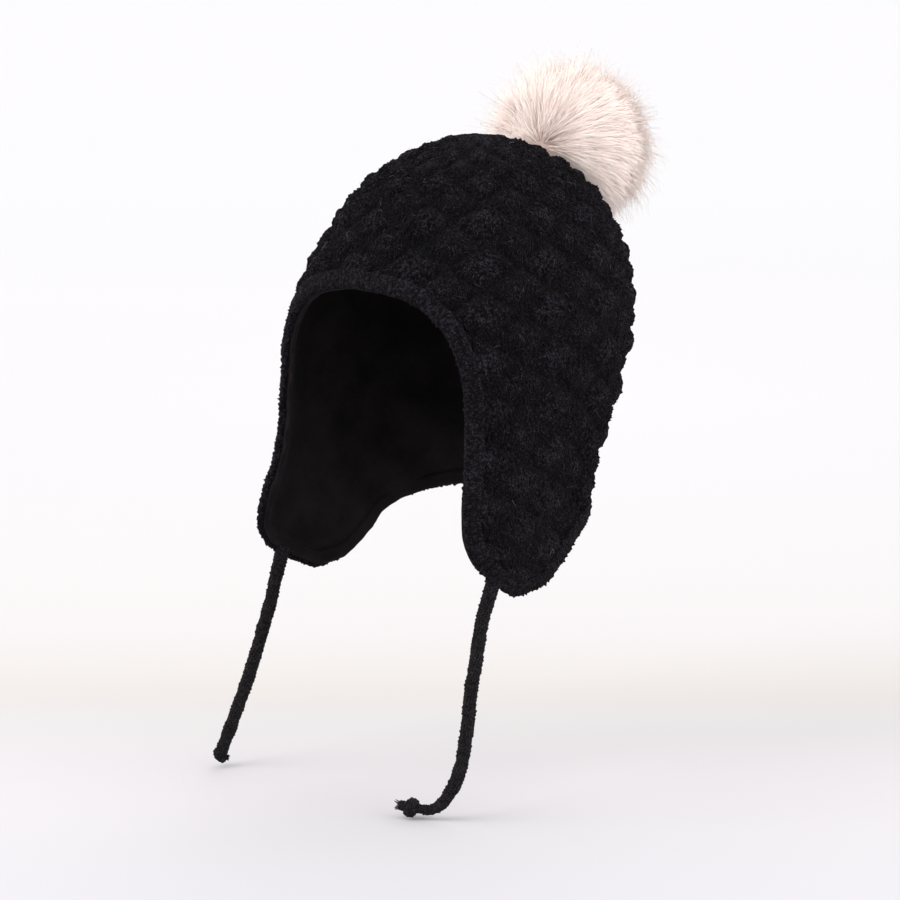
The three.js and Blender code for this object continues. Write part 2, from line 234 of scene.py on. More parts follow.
# Monotone cubic through a table: each tangent is the harmonic mean of the slopes beside it
def curveThrough(x, y):
    x, y = np.asarray(x, float), np.asarray(y, float)
    slope = np.diff(y) / np.diff(x)
    before, after = np.r_[slope[0], slope], np.r_[slope, slope[-1]]
    total = np.where(before + after == 0, 1, before + after)
    tangent = np.where(before * after > 0, 2 * before * after / total, 0)

    def at(where):
        w = np.clip(where, x[0], x[-1])
        i = np.clip(np.searchsorted(x, w, side="right") - 1, 0, len(x) - 2)
        step = x[i + 1] - x[i]
        s = (w - x[i]) / step
        stay = y[i] * (1 + 2 * s) * (1 - s) ** 2 + y[i + 1] * s * s * (3 - 2 * s)
        return stay + step * s * (1 - s) * (tangent[i] * (1 - s) - tangent[i + 1] * s)

    return at


sectionTable = np.array(hat["sections"])
sectionRoots = np.sqrt(sectionTable[:, 0])
sectionOf = {name: curveThrough(sectionRoots, sectionTable[:, i + 1])
             for i, name in enumerate(("width", "front", "back", "forward", "flare"))}


# Outer point: x is the half width by the sine of the turn and y the half depth by its cosine, both
# swollen beside the cheek by the flare, and z falls with the square of the root
def outerPoint(turn, root):
    toFlare = np.abs(np.degrees(turn)) - hat["flareTurn"]
    inReach = np.abs(toFlare) < hat["flareReach"]
    swell = np.where(inReach, np.cos(np.pi / 2 * toFlare / hat["flareReach"]) ** 2, 0)
    out = 1 + sectionOf["flare"](root) * swell
    reach = np.where(np.cos(turn) > 0, sectionOf["front"](root), sectionOf["back"](root))
    x = hat["halfWidth"] * sectionOf["width"](root) * np.sin(turn) * out
    y = -hat["halfDepth"] * (reach * np.cos(turn) * out + sectionOf["forward"](root))
    z = hat["wall"] - root * root * hat["depth"] + hat["sidewaysTilt"] * x
    return np.stack([x, y, z], axis=-1)


# Outward normal from small steps along the depth and the turn
def outwardNormal(turn, root):
    step = 1e-3
    at = np.maximum(root, 2 * step)
    alongTurn = outerPoint(turn + step, at) - outerPoint(turn - step, at)
    alongDepth = outerPoint(turn, at + step) - outerPoint(turn, at - step)
    return unit(np.cross(alongDepth, alongTurn))


def wallPoint(turn, root, inset):
    return outerPoint(turn, root) - outwardNormal(turn, root) * np.asarray(inset)[..., None]


# Length down from the crown's top, on the mean of the four sides, for each root
meridianRoot = np.linspace(0, 1.02, 241)
meridianRadius = ((sectionOf["front"](meridianRoot) + sectionOf["back"](meridianRoot)) * hat["halfDepth"]
                  + 2 * sectionOf["width"](meridianRoot) * hat["halfWidth"]) / 4
meridianLength = np.r_[0, np.cumsum(np.hypot(np.diff(meridianRoot ** 2) * hat["depth"],
                                             np.diff(meridianRadius)))]


def rootAtLength(length):
    return np.interp(length, meridianLength, meridianRoot)


# The rim as a fine closed track, each point with its turn and root
rimTable = np.array(hat["rim"])
rimPlace = np.arange(len(rimTable))
rimAlong = np.linspace(-(len(rimTable) - 1), len(rimTable) - 1, 3201)[:-1]
rimTurn = np.sign(rimAlong) * np.radians(curveThrough(rimPlace, rimTable[:, 0])(np.abs(rimAlong)))
rimRoot = np.sqrt(curveThrough(rimPlace, rimTable[:, 1])(np.abs(rimAlong)))
rimPoint = outerPoint(rimTurn, rimRoot)
rimSteps = np.linalg.norm(np.roll(rimPoint, -1, axis=0) - rimPoint, axis=1)
rimReached = np.r_[0, np.cumsum(rimSteps)]
rimLength = rimReached[-1]


# Even stations along the rim: turn, root, outward normal, direction into the cloth, and point
def rimStations(count):
    reached = np.arange(count) / count * rimLength
    along = np.interp(reached, rimReached, np.r_[rimAlong, -rimAlong[0]])
    turn = np.sign(along) * np.radians(curveThrough(rimPlace, rimTable[:, 0])(np.abs(along)))
    root = np.sqrt(curveThrough(rimPlace, rimTable[:, 1])(np.abs(along)))
    point = outerPoint(turn, root)
    normal = outwardNormal(turn, root)
    ahead = unit(np.roll(point, -1, axis=0) - np.roll(point, 1, axis=0))
    return turn, root, normal, unit(np.cross(normal, ahead)), point


# Distance from each point to the rim's nearest track point, in chunks
def distanceToRim(points):
    target = rimPoint[::2]
    found = np.empty(len(points))
    for start in range(0, len(points), 8000):
        part = points[start:start + 8000]
        squares = (part ** 2).sum(1)[:, None] + (target ** 2).sum(1) - 2 * part @ target.T
        found[start:start + 8000] = np.sqrt(np.maximum(squares.min(axis=1), 0))
    return found


print("form ready, rim", round(rimLength * 1000), "mm long")


# Tie cords, as knitted tubes along their routes
cords = {
    "diameter": 0.0075,
    "wales": 8,
    "courseHeight": 0.0019,
    "stitchRelief": 0.0008,
    "pointsPerWale": 4,
    # turns of the wales round each cord over its length
    "twist": 1.3,
    "intoBand": 0.0025,
    "intoKnot": 0.0036,
    # length before the knot over which a cord is drawn thin, and its share of thickness there
    "drawnLength": 0.030,
    "drawnShare": {"left": 0.72, "right": 0.97},
    # share by which a cord is thicker under the band, and over what length that fades
    "widerInBand": (0.12, 0.02),
    # uneven thickness along a cord, as waves: share, rate and start
    "swells": ((0.02, 420, 0), (0.015, 173, 1)),
    "leftRoute": [
        (0.0792, -0.0709, -0.2228), (0.0788, -0.0717, -0.2260), (0.0781, -0.0726, -0.2300),
        (0.0769, -0.0735, -0.2350), (0.0753, -0.0745, -0.2420), (0.0740, -0.0753, -0.2495),
        (0.0728, -0.0761, -0.2590), (0.0716, -0.0768, -0.2690), (0.0703, -0.0776, -0.2775),
        (0.0694, -0.0782, -0.2860), (0.0688, -0.0786, -0.2940), (0.0682, -0.0790, -0.3020),
        (0.0673, -0.0796, -0.3100), (0.0663, -0.0802, -0.3175), (0.0648, -0.0811, -0.3255),
        (0.0624, -0.0826, -0.3335), (0.0590, -0.0848, -0.3410), (0.0554, -0.0870, -0.3460),
        (0.0512, -0.0897, -0.3489), (0.0464, -0.0927, -0.3486),
    ],
    "rightRoute": [
        (-0.0796, -0.0734, -0.2262), (-0.0798, -0.0743, -0.2296), (-0.0802, -0.0752, -0.2332),
        (-0.0809, -0.0760, -0.2380), (-0.0823, -0.0768, -0.2440), (-0.0837, -0.0774, -0.2510),
        (-0.0853, -0.0781, -0.2580), (-0.0876, -0.0791, -0.2660), (-0.0901, -0.0802, -0.2750),
        (-0.0927, -0.0813, -0.2840), (-0.0954, -0.0825, -0.2930), (-0.0982, -0.0837, -0.3020),
        (-0.1012, -0.0850, -0.3105), (-0.1042, -0.0862, -0.3190), (-0.1072, -0.0875, -0.3275),
        (-0.1102, -0.0887, -0.3355), (-0.1128, -0.0898, -0.3430),
    ],
}


# Catmull-Rom through the route's points, resampled evenly
def routePath(route, count):
    points = np.array(route)
    padded = np.vstack([2 * points[0] - points[1], points, 2 * points[-1] - points[-2]])
    s = np.linspace(0, 1, 40, endpoint=False)[:, None, None]
    a, b, c, d = padded[:-3], padded[1:-2], padded[2:-1], padded[3:]
    bend = 0.5 * (2 * b + (c - a) * s + (2 * a - 5 * b + 4 * c - d) * s ** 2
                  + (3 * b - a - 3 * c + d) * s ** 3)
    fine = np.vstack([bend.transpose(1, 0, 2).reshape(-1, 3), points[-1:]])
    reached = np.r_[0, np.cumsum(np.linalg.norm(np.diff(fine, axis=0), axis=1))]
    even = np.linspace(0, reached[-1], count)
    return np.stack([np.interp(even, reached, fine[:, i]) for i in range(3)], axis=1), reached[-1]


# Height of a knit stitch: a ridge along its column that swells at the middle of each course, by a
# share that differs from stitch to stitch, with its middle moved a little off the lattice, and with
# finer random heights on top
def stitchNub(across, course, wrap, seed):
    lot = speck(np.floor(across) % wrap, np.floor(course), seed)
    aside = across + 0.5 * (patchy(across, course, wrap, seed + 1) - 0.5)
    below = course + 0.9 * (patchy(across, course * 0.7, wrap, seed + 2) - 0.5)
    nub = np.abs(np.sin(np.pi * aside)) ** 0.8 * (0.4 + 0.6 * np.sin(np.pi * below) ** 2)
    return nub * (0.45 + 0.9 * lot) + 0.5 * (patchy(2 * across, course * 1.3, 2 * wrap, seed + 3) - 0.5)


# Nub height that lies on the surface itself: higher nubs stand out from it, and lower ones lie under it
nubLevel = 0.6


# Tube of knit: a round section carried along a path, raised by its stitches. reference is a
# direction that the path never takes
def knitTube(path, radius, wales, courses, relief, reference, perWale=4, closed=False, twist=0.0):
    around, rows = wales * perWale, len(path)
    ahead = np.roll(path, -1, axis=0) - np.roll(path, 1, axis=0) if closed else np.gradient(path, axis=0)
    ahead = unit(ahead)
    side = unit(np.cross(ahead, reference))
    other = np.cross(ahead, side)
    courseStep = courses / (rows if closed else rows - 1)
    across = np.arange(around) / perWale
    down = np.arange(rows) * courseStep
    height = stitchNub(across[None, :], down[:, None], wales, wales)
    angle = (np.arange(around)[None, :] / around + twist * np.arange(rows)[:, None] / rows) * 2 * np.pi
    reach = (np.broadcast_to(radius, rows)[:, None] + relief * (height - nubLevel))[..., None]
    ring = np.cos(angle)[..., None] * side[:, None] + np.sin(angle)[..., None] * other[:, None]
    points = (path[:, None] + reach * ring).reshape(-1, 3)
    quads, places = gridFaces(rows, around, True, closed)
    faceSets, cornerSets = [quads[:, ::-1]], [places[:, ::-1] * (1 / perWale, courseStep)]
    if not closed:
        column = np.arange(around)
        right = (column + 1) % around
        end = (rows - 1) * around
        faceSets += [np.stack([np.full(around, len(points)), right, column], -1),
                     np.stack([np.full(around, len(points) + 1), end + column, end + right], -1)]
        cornerSets += [np.zeros((around, 3, 2)), np.zeros((around, 3, 2))]
        points = np.vstack([points, path[:1], path[-1:]])
    return points, faceSets, cornerSets


def joined(parts):
    pointSets, faceSets, cornerSets, start = [], [], [], 0
    for points, faces, corners in parts:
        pointSets.append(points)
        faceSets += [face + start for face in faces]
        cornerSets += corners
        start += len(points)
    return np.vstack(pointSets), faceSets, cornerSets


def pieceFrom(name, part):
    points, faceSets, cornerSets = part
    piece = meshFrom(name, points, faceSets)
    addStitchMap(piece, cornerSets)
    return piece


# Tapered three-sided prisms: rings of three points round each path point, closed by a triangle at the
# root and by one point at the tip. paths is strands by points by 3, and radius strands by points
def strandsFrom(name, paths, radius, tint, shade=0.0, centre=None, lockShare=0.6):
    strandCount, pointCount = paths.shape[:2]
    ahead = unit(np.gradient(paths, axis=1))
    reference = unit(chance.normal(size=(strandCount, 1, 3)))
    if centre is not None:
        reference = unit(paths - centre)
    side = unit(np.cross(ahead, reference))
    other = np.cross(ahead, side)
    # with a centre, one of the three sides faces away from it
    angle = np.pi / 2 + np.arange(3) * 2 * np.pi / 3
    ring = (np.cos(angle)[:, None] * side[:, :-1, None] + np.sin(angle)[:, None] * other[:, :-1, None])
    rings = paths[:, :-1, None] + radius[:, :-1, None, None] * ring
    points = np.concatenate([rings.reshape(strandCount, -1, 3), paths[:, -1:]], axis=1)
    each = points.shape[1]
    quads = [[3 * r + s, 3 * r + (s + 1) % 3, 3 * r + 3 + (s + 1) % 3, 3 * r + 3 + s]
             for r in range(pointCount - 2) for s in range(3)]
    last = 3 * (pointCount - 2)
    triangles = [[0, 2, 1]] + [[last + s, last + (s + 1) % 3, each - 1] for s in range(3)]
    start = (np.arange(strandCount) * each)[:, None, None]
    piece = meshFrom(name, points.reshape(-1, 3), [(np.array(quads)[None] + start).reshape(-1, 4),
                                                   (np.array(triangles)[None] + start).reshape(-1, 3)])
    if centre is not None:
        # fur scatters light from hair to hair, so a hair is shaded mostly by the way its lock faces
        ownWay = np.concatenate([ring.reshape(strandCount, -1, 3), ahead[:, -1:]], axis=1)
        lockWay = unit(points - centre)
        shading = unit(lockShare * lockWay + (1 - lockShare) * ownWay).reshape(-1, 3)
        piece.data.normals_split_custom_set_from_vertices(shading.tolist())
    along = np.r_[np.repeat(np.arange(pointCount - 1) / (pointCount - 1), 3), 1]
    addPointValue(piece, "along", np.broadcast_to(along, (strandCount, each)))
    addPointValue(piece, "tint", np.broadcast_to(tint[:, None], (strandCount, each)))
    shades = np.broadcast_to(shade, strandCount)[:, None]
    addPointValue(piece, "shade", np.broadcast_to(shades, (strandCount, each)))
    return piece


# Wool knit from the stitch map: matt dyed yarn with painted shade between the stitches and painted light on
# them, each stitch a little lighter or darker than the next, and nudged off the exact lattice by a soft
# noise
def woolMaterial(name, look):
    material, tree = newMaterial(name)
    grain = addNode(tree, "ShaderNodeTexCoord")
    stitchMap = addNode(tree, "ShaderNodeUVMap", uv_map="stitches")
    stray = addNode(tree, "ShaderNodeTexNoise", {"Scale": 260, "Detail": 2},
                    {"Vector": grain.outputs["Object"]})
    centred = addNode(tree, "ShaderNodeVectorMath", {1: (0.5, 0.5, 0.5)}, {0: stray.outputs["Color"]},
                      operation="SUBTRACT")
    nudged = addNode(tree, "ShaderNodeVectorMath", {1: (look["stray"],) * 3},
                     {0: centred.outputs[0], 2: stitchMap.outputs[0]}, operation="MULTIPLY_ADD")
    axes = addNode(tree, "ShaderNodeSeparateXYZ", links={0: nudged.outputs[0]})
    across = addNode(tree, "ShaderNodeMath", operation="FRACT", links={0: axes.outputs[0]})
    down = addNode(tree, "ShaderNodeMath", operation="FRACT", links={0: axes.outputs[1]})
    offMiddle = addNode(tree, "ShaderNodeMath", {1: 0.5}, {0: across.outputs[0]}, operation="SUBTRACT")
    side = addNode(tree, "ShaderNodeMath", links={0: offMiddle.outputs[0]}, operation="ABSOLUTE")
    legPlace = addNode(tree, "ShaderNodeMath", {1: -0.24, 2: 0.37}, {0: down.outputs[0]},
                       operation="MULTIPLY_ADD")
    offLeg = addNode(tree, "ShaderNodeMath", links={0: side.outputs[0], 1: legPlace.outputs[0]},
                     operation="SUBTRACT")
    legGap = addNode(tree, "ShaderNodeMath", links={0: offLeg.outputs[0]}, operation="ABSOLUTE")
    leg = addNode(tree, "ShaderNodeMapRange", {1: 0.0, 2: 0.2, 3: 1.0, 4: 0.0},
                  {0: legGap.outputs[0]}, interpolation_type="SMOOTHSTEP")
    # uneven nubs of yarn about 1.7 mm across, parted by narrow gaps that take painted shade: each falls
    # with the distance from its own middle
    nubs = addNode(tree, "ShaderNodeTexVoronoi", {"Scale": 580, "Randomness": 1.0},
                   {"Vector": grain.outputs["Object"]})
    hill = addNode(tree, "ShaderNodeMapRange", {1: 0.34, 2: 0.74, 3: 1.0, 4: 0.0},
                   {0: nubs.outputs["Distance"]}, interpolation_type="SMOOTHSTEP")
    purlShare = addNode(tree, "ShaderNodeAttribute", attribute_name="purl")
    nubShare = addNode(tree, "ShaderNodeMapRange", {3: look["leastNubs"], 4: look["mostNubs"]},
                       {0: purlShare.outputs["Fac"]})
    stitch = addNode(tree, "ShaderNodeMix", links={0: nubShare.outputs[0], 2: leg.outputs[0],
                                                   3: hill.outputs[0]}, data_type="FLOAT")
    cell = addNode(tree, "ShaderNodeVectorMath", links={0: nudged.outputs[0]}, operation="FLOOR")
    lot = addNode(tree, "ShaderNodeTexWhiteNoise", links={"Vector": cell.outputs[0]},
                  noise_dimensions="2D")
    # single fibres are about 0.02 mm, so they are drawn as 0.5 mm strands to show at all
    fibre = addNode(tree, "ShaderNodeTexNoise", {"Scale": 1300, "Detail": 3, "Roughness": 0.7},
                    {"Vector": grain.outputs["Object"]})
    fibreWide = addNode(tree, "ShaderNodeMapRange", {1: 0.36, 2: 0.66, 3: 0.0, 4: 1.0},
                        {0: fibre.outputs["Fac"]})
    patch = addNode(tree, "ShaderNodeTexNoise", {"Scale": 60, "Detail": 4, "Roughness": 0.65},
                    {"Vector": grain.outputs["Object"]})
    raised = addNode(tree, "ShaderNodeMath", {1: look["stitchShare"]}, {0: stitch.outputs[0]},
                     operation="MULTIPLY")
    height = addNode(tree, "ShaderNodeMath", {1: look["fibreShare"]},
                     {0: fibreWide.outputs[0], 2: raised.outputs[0]}, operation="MULTIPLY_ADD")
    bump = addNode(tree, "ShaderNodeBump", {"Strength": 1.0, "Distance": look["bumpHeight"]},
                   {"Height": height.outputs[0]})
    lotLight = addNode(tree, "ShaderNodeMath", {1: look["lotShare"]},
                       {0: lot.outputs["Value"], 2: height.outputs[0]}, operation="MULTIPLY_ADD")
    light = addNode(tree, "ShaderNodeMath", {1: 0.9}, {0: patch.outputs["Fac"], 2: lotLight.outputs[0]},
                    operation="MULTIPLY_ADD")
    # painted shade: the creases between the puffs are darkened, as less light reaches into them
    crease = addNode(tree, "ShaderNodeAttribute", attribute_name="crease")
    shaded = addNode(tree, "ShaderNodeMath", {1: -look["paintedCreaseShade"]},
                     {0: crease.outputs["Fac"], 2: light.outputs[0]}, operation="MULTIPLY_ADD")
    # painted shade and light: the tone follows the stitch height, so the yarn goes to the shaded hollow
    # colour in the low places and to the crest colour on the high ones
    tone = addNode(tree, "ShaderNodeMapRange", {1: look["darkest"], 2: look["lightest"], 3: 0.0, 4: 1.0},
                   {0: shaded.outputs[0]}, interpolation_type="SMOOTHSTEP")
    yarn = addNode(tree, "ShaderNodeMix", {6: toLinear(look["hollow"]), 7: toLinear(look["crest"])},
                   {0: tone.outputs[0]}, data_type="RGBA")
    # painted highlights: pale flecks where single fibres catch the light
    fibreGlint = addNode(tree, "ShaderNodeMapRange", {1: 0.6, 2: 0.74, 3: 0.0, 4: look["fibreGlint"]},
                    {0: fibre.outputs["Fac"]})
    colour = addNode(tree, "ShaderNodeMix", {7: toLinear("#7d7680")},
                     {0: fibreGlint.outputs[0], 6: yarn.outputs[2]}, data_type="RGBA")
    shader = addNode(tree, "ShaderNodeBsdfPrincipled",
                     {"Roughness": 0.9, "Specular IOR Level": look["specular"],
                      "Sheen Weight": look["sheen"], "Sheen Roughness": 0.5,
                      "Sheen Tint": toLinear("#c9c2cc")},
                     {"Base Color": colour.outputs[2], "Normal": bump.outputs[0]})
    addNode(tree, "ShaderNodeOutputMaterial", links={0: shader.outputs[0]})
    return material


# Loose fibres and hairs: colour runs from root to tip, each one has a tint of its own, and those that
# carry a shade value take painted shade at the root, for the parting where the fur meets the knit, in a
# brown that also stands for darker hairs there
def hairMaterial(name, look):
    material, tree = newMaterial(name)
    along = addNode(tree, "ShaderNodeAttribute", attribute_name="along")
    tint = addNode(tree, "ShaderNodeAttribute", attribute_name="tint")
    shade = addNode(tree, "ShaderNodeAttribute", attribute_name="shade")
    ramp = addNode(tree, "ShaderNodeValToRGB", links={0: along.outputs["Fac"]})
    ramp.color_ramp.elements[0].color = toLinear(look["root"])
    ramp.color_ramp.elements[1].color = toLinear(look["tip"])
    middle = ramp.color_ramp.elements.new(look["middlePlace"])
    middle.color = toLinear(look["middle"])
    share = addNode(tree, "ShaderNodeMath", {1: look["tintShare"]}, {0: tint.outputs["Fac"]},
                    operation="MULTIPLY")
    tinted = addNode(tree, "ShaderNodeMix", {7: toLinear(look["tint"])},
                     {0: share.outputs[0], 6: ramp.outputs[0]}, data_type="RGBA")
    colour = addNode(tree, "ShaderNodeMix", {7: toLinear(look["shade"])},
                     {0: shade.outputs["Fac"], 6: tinted.outputs[2]}, data_type="RGBA")
    shader = addNode(tree, "ShaderNodeBsdfPrincipled",
                     {"Roughness": look["roughness"], "Specular IOR Level": look["specular"],
                      "Sheen Weight": look["sheen"], "Sheen Roughness": 0.4},
                     {"Base Color": colour.outputs[2]})
    addNode(tree, "ShaderNodeOutputMaterial", links={0: shader.outputs[0]})
    return material


# Brushed fleece: a short matt nap, so it stays darker and smoother than the knit
def fleeceMaterial(name, look):
    material, tree = newMaterial(name)
    grain = addNode(tree, "ShaderNodeTexCoord")
    nap = addNode(tree, "ShaderNodeTexNoise", {"Scale": 900, "Detail": 5, "Roughness": 0.75},
                  {"Vector": grain.outputs["Object"]})
    patch = addNode(tree, "ShaderNodeTexNoise", {"Scale": 45, "Detail": 3},
                    {"Vector": grain.outputs["Object"]})
    mixed = addNode(tree, "ShaderNodeMath", {1: 0.5}, {0: nap.outputs["Fac"], 2: patch.outputs["Fac"]},
                    operation="MULTIPLY_ADD")
    tone = addNode(tree, "ShaderNodeMapRange", {1: 0.5, 2: 1.0, 3: 0.0, 4: 1.0}, {0: mixed.outputs[0]})
    colour = addNode(tree, "ShaderNodeMix", {6: toLinear(look["dark"]), 7: toLinear(look["light"])},
                     {0: tone.outputs[0]}, data_type="RGBA")
    bump = addNode(tree, "ShaderNodeBump", {"Strength": 0.6, "Distance": 0.0005},
                   {"Height": nap.outputs["Fac"]})
    shader = addNode(tree, "ShaderNodeBsdfPrincipled",
                     {"Roughness": 0.95, "Specular IOR Level": 0.08, "Sheen Weight": look["sheen"],
                      "Sheen Roughness": 0.5, "Sheen Tint": toLinear("#8a8690")},
                     {"Base Color": colour.outputs[2], "Normal": bump.outputs[0]})
    addNode(tree, "ShaderNodeOutputMaterial", links={0: shader.outputs[0]})
    return material


blackWool = woolMaterial("blackWoolBlendDiamondKnit", {
    "hollow": "#010102", "crest": "#38323e", "specular": 0.05, "sheen": 0.03, "stitchShare": 1.25,
    "fibreShare": 0.8, "lotShare": 0.35, "stray": 0.8, "bumpHeight": 0.0012, "paintedCreaseShade": 0.45,
    "darkest": 1.38, "lightest": 2.65, "fibreGlint": 0.2, "leastNubs": 0.45, "mostNubs": 0.68,
})
ribWool = woolMaterial("blackWoolBlendRibKnit", {
    "hollow": "#010102", "crest": "#38323e", "specular": 0.06, "sheen": 0.04, "stitchShare": 1.0,
    "fibreShare": 0.8, "lotShare": 0.35, "stray": 0.8, "bumpHeight": 0.0010, "paintedCreaseShade": 0.0,
    "darkest": 1.25, "lightest": 2.75, "fibreGlint": 0.2, "leastNubs": 0.7, "mostNubs": 0.7,
})
cordWool = woolMaterial("blackWoolBlendTubeKnit", {
    "hollow": "#030203", "crest": "#2f2b2d", "specular": 0.08, "sheen": 0.04, "stitchShare": 1.2,
    "fibreShare": 1.0, "lotShare": 0.5, "stray": 0.5, "bumpHeight": 0.0008, "paintedCreaseShade": 0.0,
    "darkest": 1.1, "lightest": 2.6, "fibreGlint": 0.25, "leastNubs": 0.3, "mostNubs": 0.3,
})
fuzzWool = hairMaterial("looseBlackWoolFibre", {
    "root": "#131114", "middle": "#343037", "middlePlace": 0.5, "tip": "#544e57", "tint": "#8b848d",
    "tintShare": 0.7, "shade": "#0b0a0c", "roughness": 0.7, "specular": 0.15, "sheen": 0.1,
})
lintWool = hairMaterial("paleLintThread", {
    "root": "#4c484d", "middle": "#6f6a70", "middlePlace": 0.5, "tip": "#5a555b", "tint": "#8f8a90",
    "tintShare": 0.7, "shade": "#4c484d", "roughness": 0.7, "specular": 0.2, "sheen": 0.1,
})
blackFleece = fleeceMaterial("blackBrushedFleece", {"dark": "#0b0a0a", "light": "#1c191a", "sheen": 0.04})
rolledFleece = fleeceMaterial("blackFleeceRolledEdge", {"dark": "#0d0b0c", "light": "#1e1a1b",
                                                        "sheen": 0.05})
print("wool and fleece mixed")


# The two tie cords and their knots: each knot is two crossed rings of cord about the way the cord
# arrives, a short tail, and the yarn ends that stand out of the tail
knots = {
    "tubeRadius": 0.0029,
    "ringRadius": 0.0026,
    "beyondCord": 0.0050,
    "lobeTilts": (0.5, -0.6),
    "wales": 7,
    "stitchRelief": 0.0006,
    "ringPoints": 48,
    "ringCourses": 12,
    "tailPoints": 22,
    "tailCourses": 5,
    # share of a tail's thickness at its start, where it closes, and the share left there
    "tailTaper": (0.85, 0.97, 0.7),
    "yarnEnds": 18,
    "yarnRadius": 0.00045,
    # shares of the tail: where the yarn ends start, how much of its width they fill, how far they splay
    "yarnFrom": 0.86,
    "yarnFill": 0.8,
    "yarnSplay": 0.35,
    "yarnUneven": 0.8,
    # size of each knot against the rings' full size
    "shares": {"left": 1.0, "right": 0.86},
    # direction, length and radius of each tail, and length of its yarn ends
    "tails": {"left": ((-0.80, -0.45, 0.14), 0.0068, 0.0030, 0.0022),
              "right": ((0.66, 0.68, -0.30), 0.0050, 0.0016, 0.0008)},
}

for sideName, nodeSide in (("Left", "left"), ("Right", "right")):
    route = cords[nodeSide + "Route"]
    path, length = routePath(route, 280)
    leaving, arriving = unit(path[0] - path[3]), unit(path[-1] - path[-4])
    inward = np.linspace(1, 0.1, 5)[:, None] * cords["intoBand"] * leaving
    onward = np.linspace(0.1, 1, 6)[:, None] * cords["intoKnot"] * arriving
    shown = np.vstack([path[0] + inward, path, path[-1] + onward])
    reached = np.arange(len(shown)) / len(shown) * length
    # the tube is a little wider under the band, and swells and thins by a tenth of a millimetre
    widening, wideLength = cords["widerInBand"]
    swell = sum(share * np.sin(reached * rate + start) for share, rate, start in cords["swells"])
    radius = cords["diameter"] / 2 * (1 + widening * (1 - smooth(0, wideLength, reached)) + swell)
    drawn = smooth(length - cords["drawnLength"], length, reached)
    radius = radius * (1 - (1 - cords["drawnShare"][nodeSide]) * drawn)
    reference = unit(np.cross(path[-1] - path[0], (0, 0, 1.0)))
    piece = pieceFrom(f"tieCord{sideName}", knitTube(
        shown, radius, cords["wales"], length / cords["courseHeight"], cords["stitchRelief"],
        reference, cords["pointsPerWale"], twist=cords["twist"]))
    dress(piece, cordWool, "black_rib", f"tie_cord_{nodeSide}")

    centre = np.array(route[-1]) + arriving * knots["beyondCord"]
    turned = np.array(Vector((0, 0, 1)).rotation_difference(Vector(arriving)).to_matrix())
    parts = []
    for tilt in knots["lobeTilts"]:
        around = np.linspace(0, 2 * np.pi, knots["ringPoints"] + 1)[:-1]
        ringSize = knots["ringRadius"] * knots["shares"][nodeSide]
        flat = ringSize * np.stack([np.cos(around), np.sin(around), 0 * around], -1)
        tipX = np.array([[1, 0, 0], [0, np.cos(tilt), -np.sin(tilt)], [0, np.sin(tilt), np.cos(tilt)]])
        spin = np.array([[np.cos(2 * tilt), -np.sin(2 * tilt), 0], [np.sin(2 * tilt), np.cos(2 * tilt), 0],
                         [0, 0, 1]])
        place = turned @ spin @ tipX
        parts.append(knitTube(flat @ place.T + centre, knots["tubeRadius"] * knots["shares"][nodeSide],
                              knots["wales"], knots["ringCourses"], knots["stitchRelief"],
                              place @ np.array([0, 0, 1.0]), closed=True))
    tailWay, tailLength, tailRadius, yarnLength = knots["tails"][nodeSide]
    tailWay = unit(np.array(tailWay))
    reach = np.linspace(0, 1, knots["tailPoints"])
    least, closing, closed = knots["tailTaper"]
    alongTail = tailRadius * (least + (1 - least) * reach) * np.where(reach > closing, closed, 1)
    parts.append(knitTube(centre + reach[:, None] * tailWay * tailLength, alongTail, knots["wales"],
                          knots["tailCourses"], knots["stitchRelief"],
                          unit(np.cross(tailWay, (0.3, 0.2, 1.0)))))
    knot = pieceFrom(f"tieKnot{sideName}", joined(parts))
    dress(knot, cordWool, "black_rib", f"tie_knot_{nodeSide}")
    count = knots["yarnEnds"]
    sideWays = unit(np.cross(tailWay, chance.normal(size=(count, 3))))
    spread = tailRadius * knots["yarnFill"] * np.sqrt(chance.random((count, 1)))
    starts = centre + tailWay * tailLength * knots["yarnFrom"] + sideWays * spread
    t = np.linspace(0, 1, 4)[None, :, None]
    ownLength = (yarnLength * (1 + knots["yarnUneven"] * chance.random((count, 1))))[..., None]
    yarns = starts[:, None] + ownLength * (tailWay * t + knots["yarnSplay"] * sideWays[:, None] * t ** 2)
    yarnRadius = knots["yarnRadius"] * np.array([1, 1, 0.9, 0])[None] * np.ones((count, 1))
    ends = strandsFrom(f"tieKnotEnds{sideName}", yarns, yarnRadius, 0.3 * chance.random(count))
    dress(ends, fuzzWool, "black_rib")
    print("cord", sideName, round(float(length) * 1000), "mm")


# Diamond knit: stocking stitch and moss stitch by turns, in diamonds parted by creases
knit = {
    "diamondsAround": 14,
    "diamondHeight": 0.026,
    "coursesPerDiamond": 12,
    "pointsPerStitch": 4,
    # stitches round the head and the first half course with that many, from the crown down
    "zones": [(28, 1), (56, 12), (112, 24), (224, 50)],
    "reliefAtFront": 0.0032,
    "reliefAtBack": 0.0048,
    "reliefFade": 0.036,
    # less than 1 makes flat puffs with narrow creases
    "puffPower": 0.75,
    "purlBlend": 0.35,
    "stockingRelief": 0.0014,
    "purlRelief": 0.0024,
    "stitchFade": 0.02,
    "roughness": 0.00018,
    "wander": 0.0012,
    "wanderFade": 0.05,
    # waves of the wander: rate down the cloth, rate round it, start
    "sidewaysWaves": ((210, 7, 0), (330, -17, 2)),
    "upwardWaves": ((170, 9, 0), (-260, 23, 1)),
    "unevenness": 0.0005,
    "tuckDepth": 0.0015,
    # how far the tuck goes in under the band's top, and how far it begins beyond it
    "tuckUnder": 0.0034,
    "tuckBeyond": 0.001,
    "topSunk": 0.0005,
    # share of a crease that is pressed flat in the tuck, and spare cloth past it
    "tuckFlattens": 0.35,
    "tuckSpare": 0.0012,
    # length from the crown's top that is too far from the rim to measure to it
    "clearOfRim": 0.04,
}
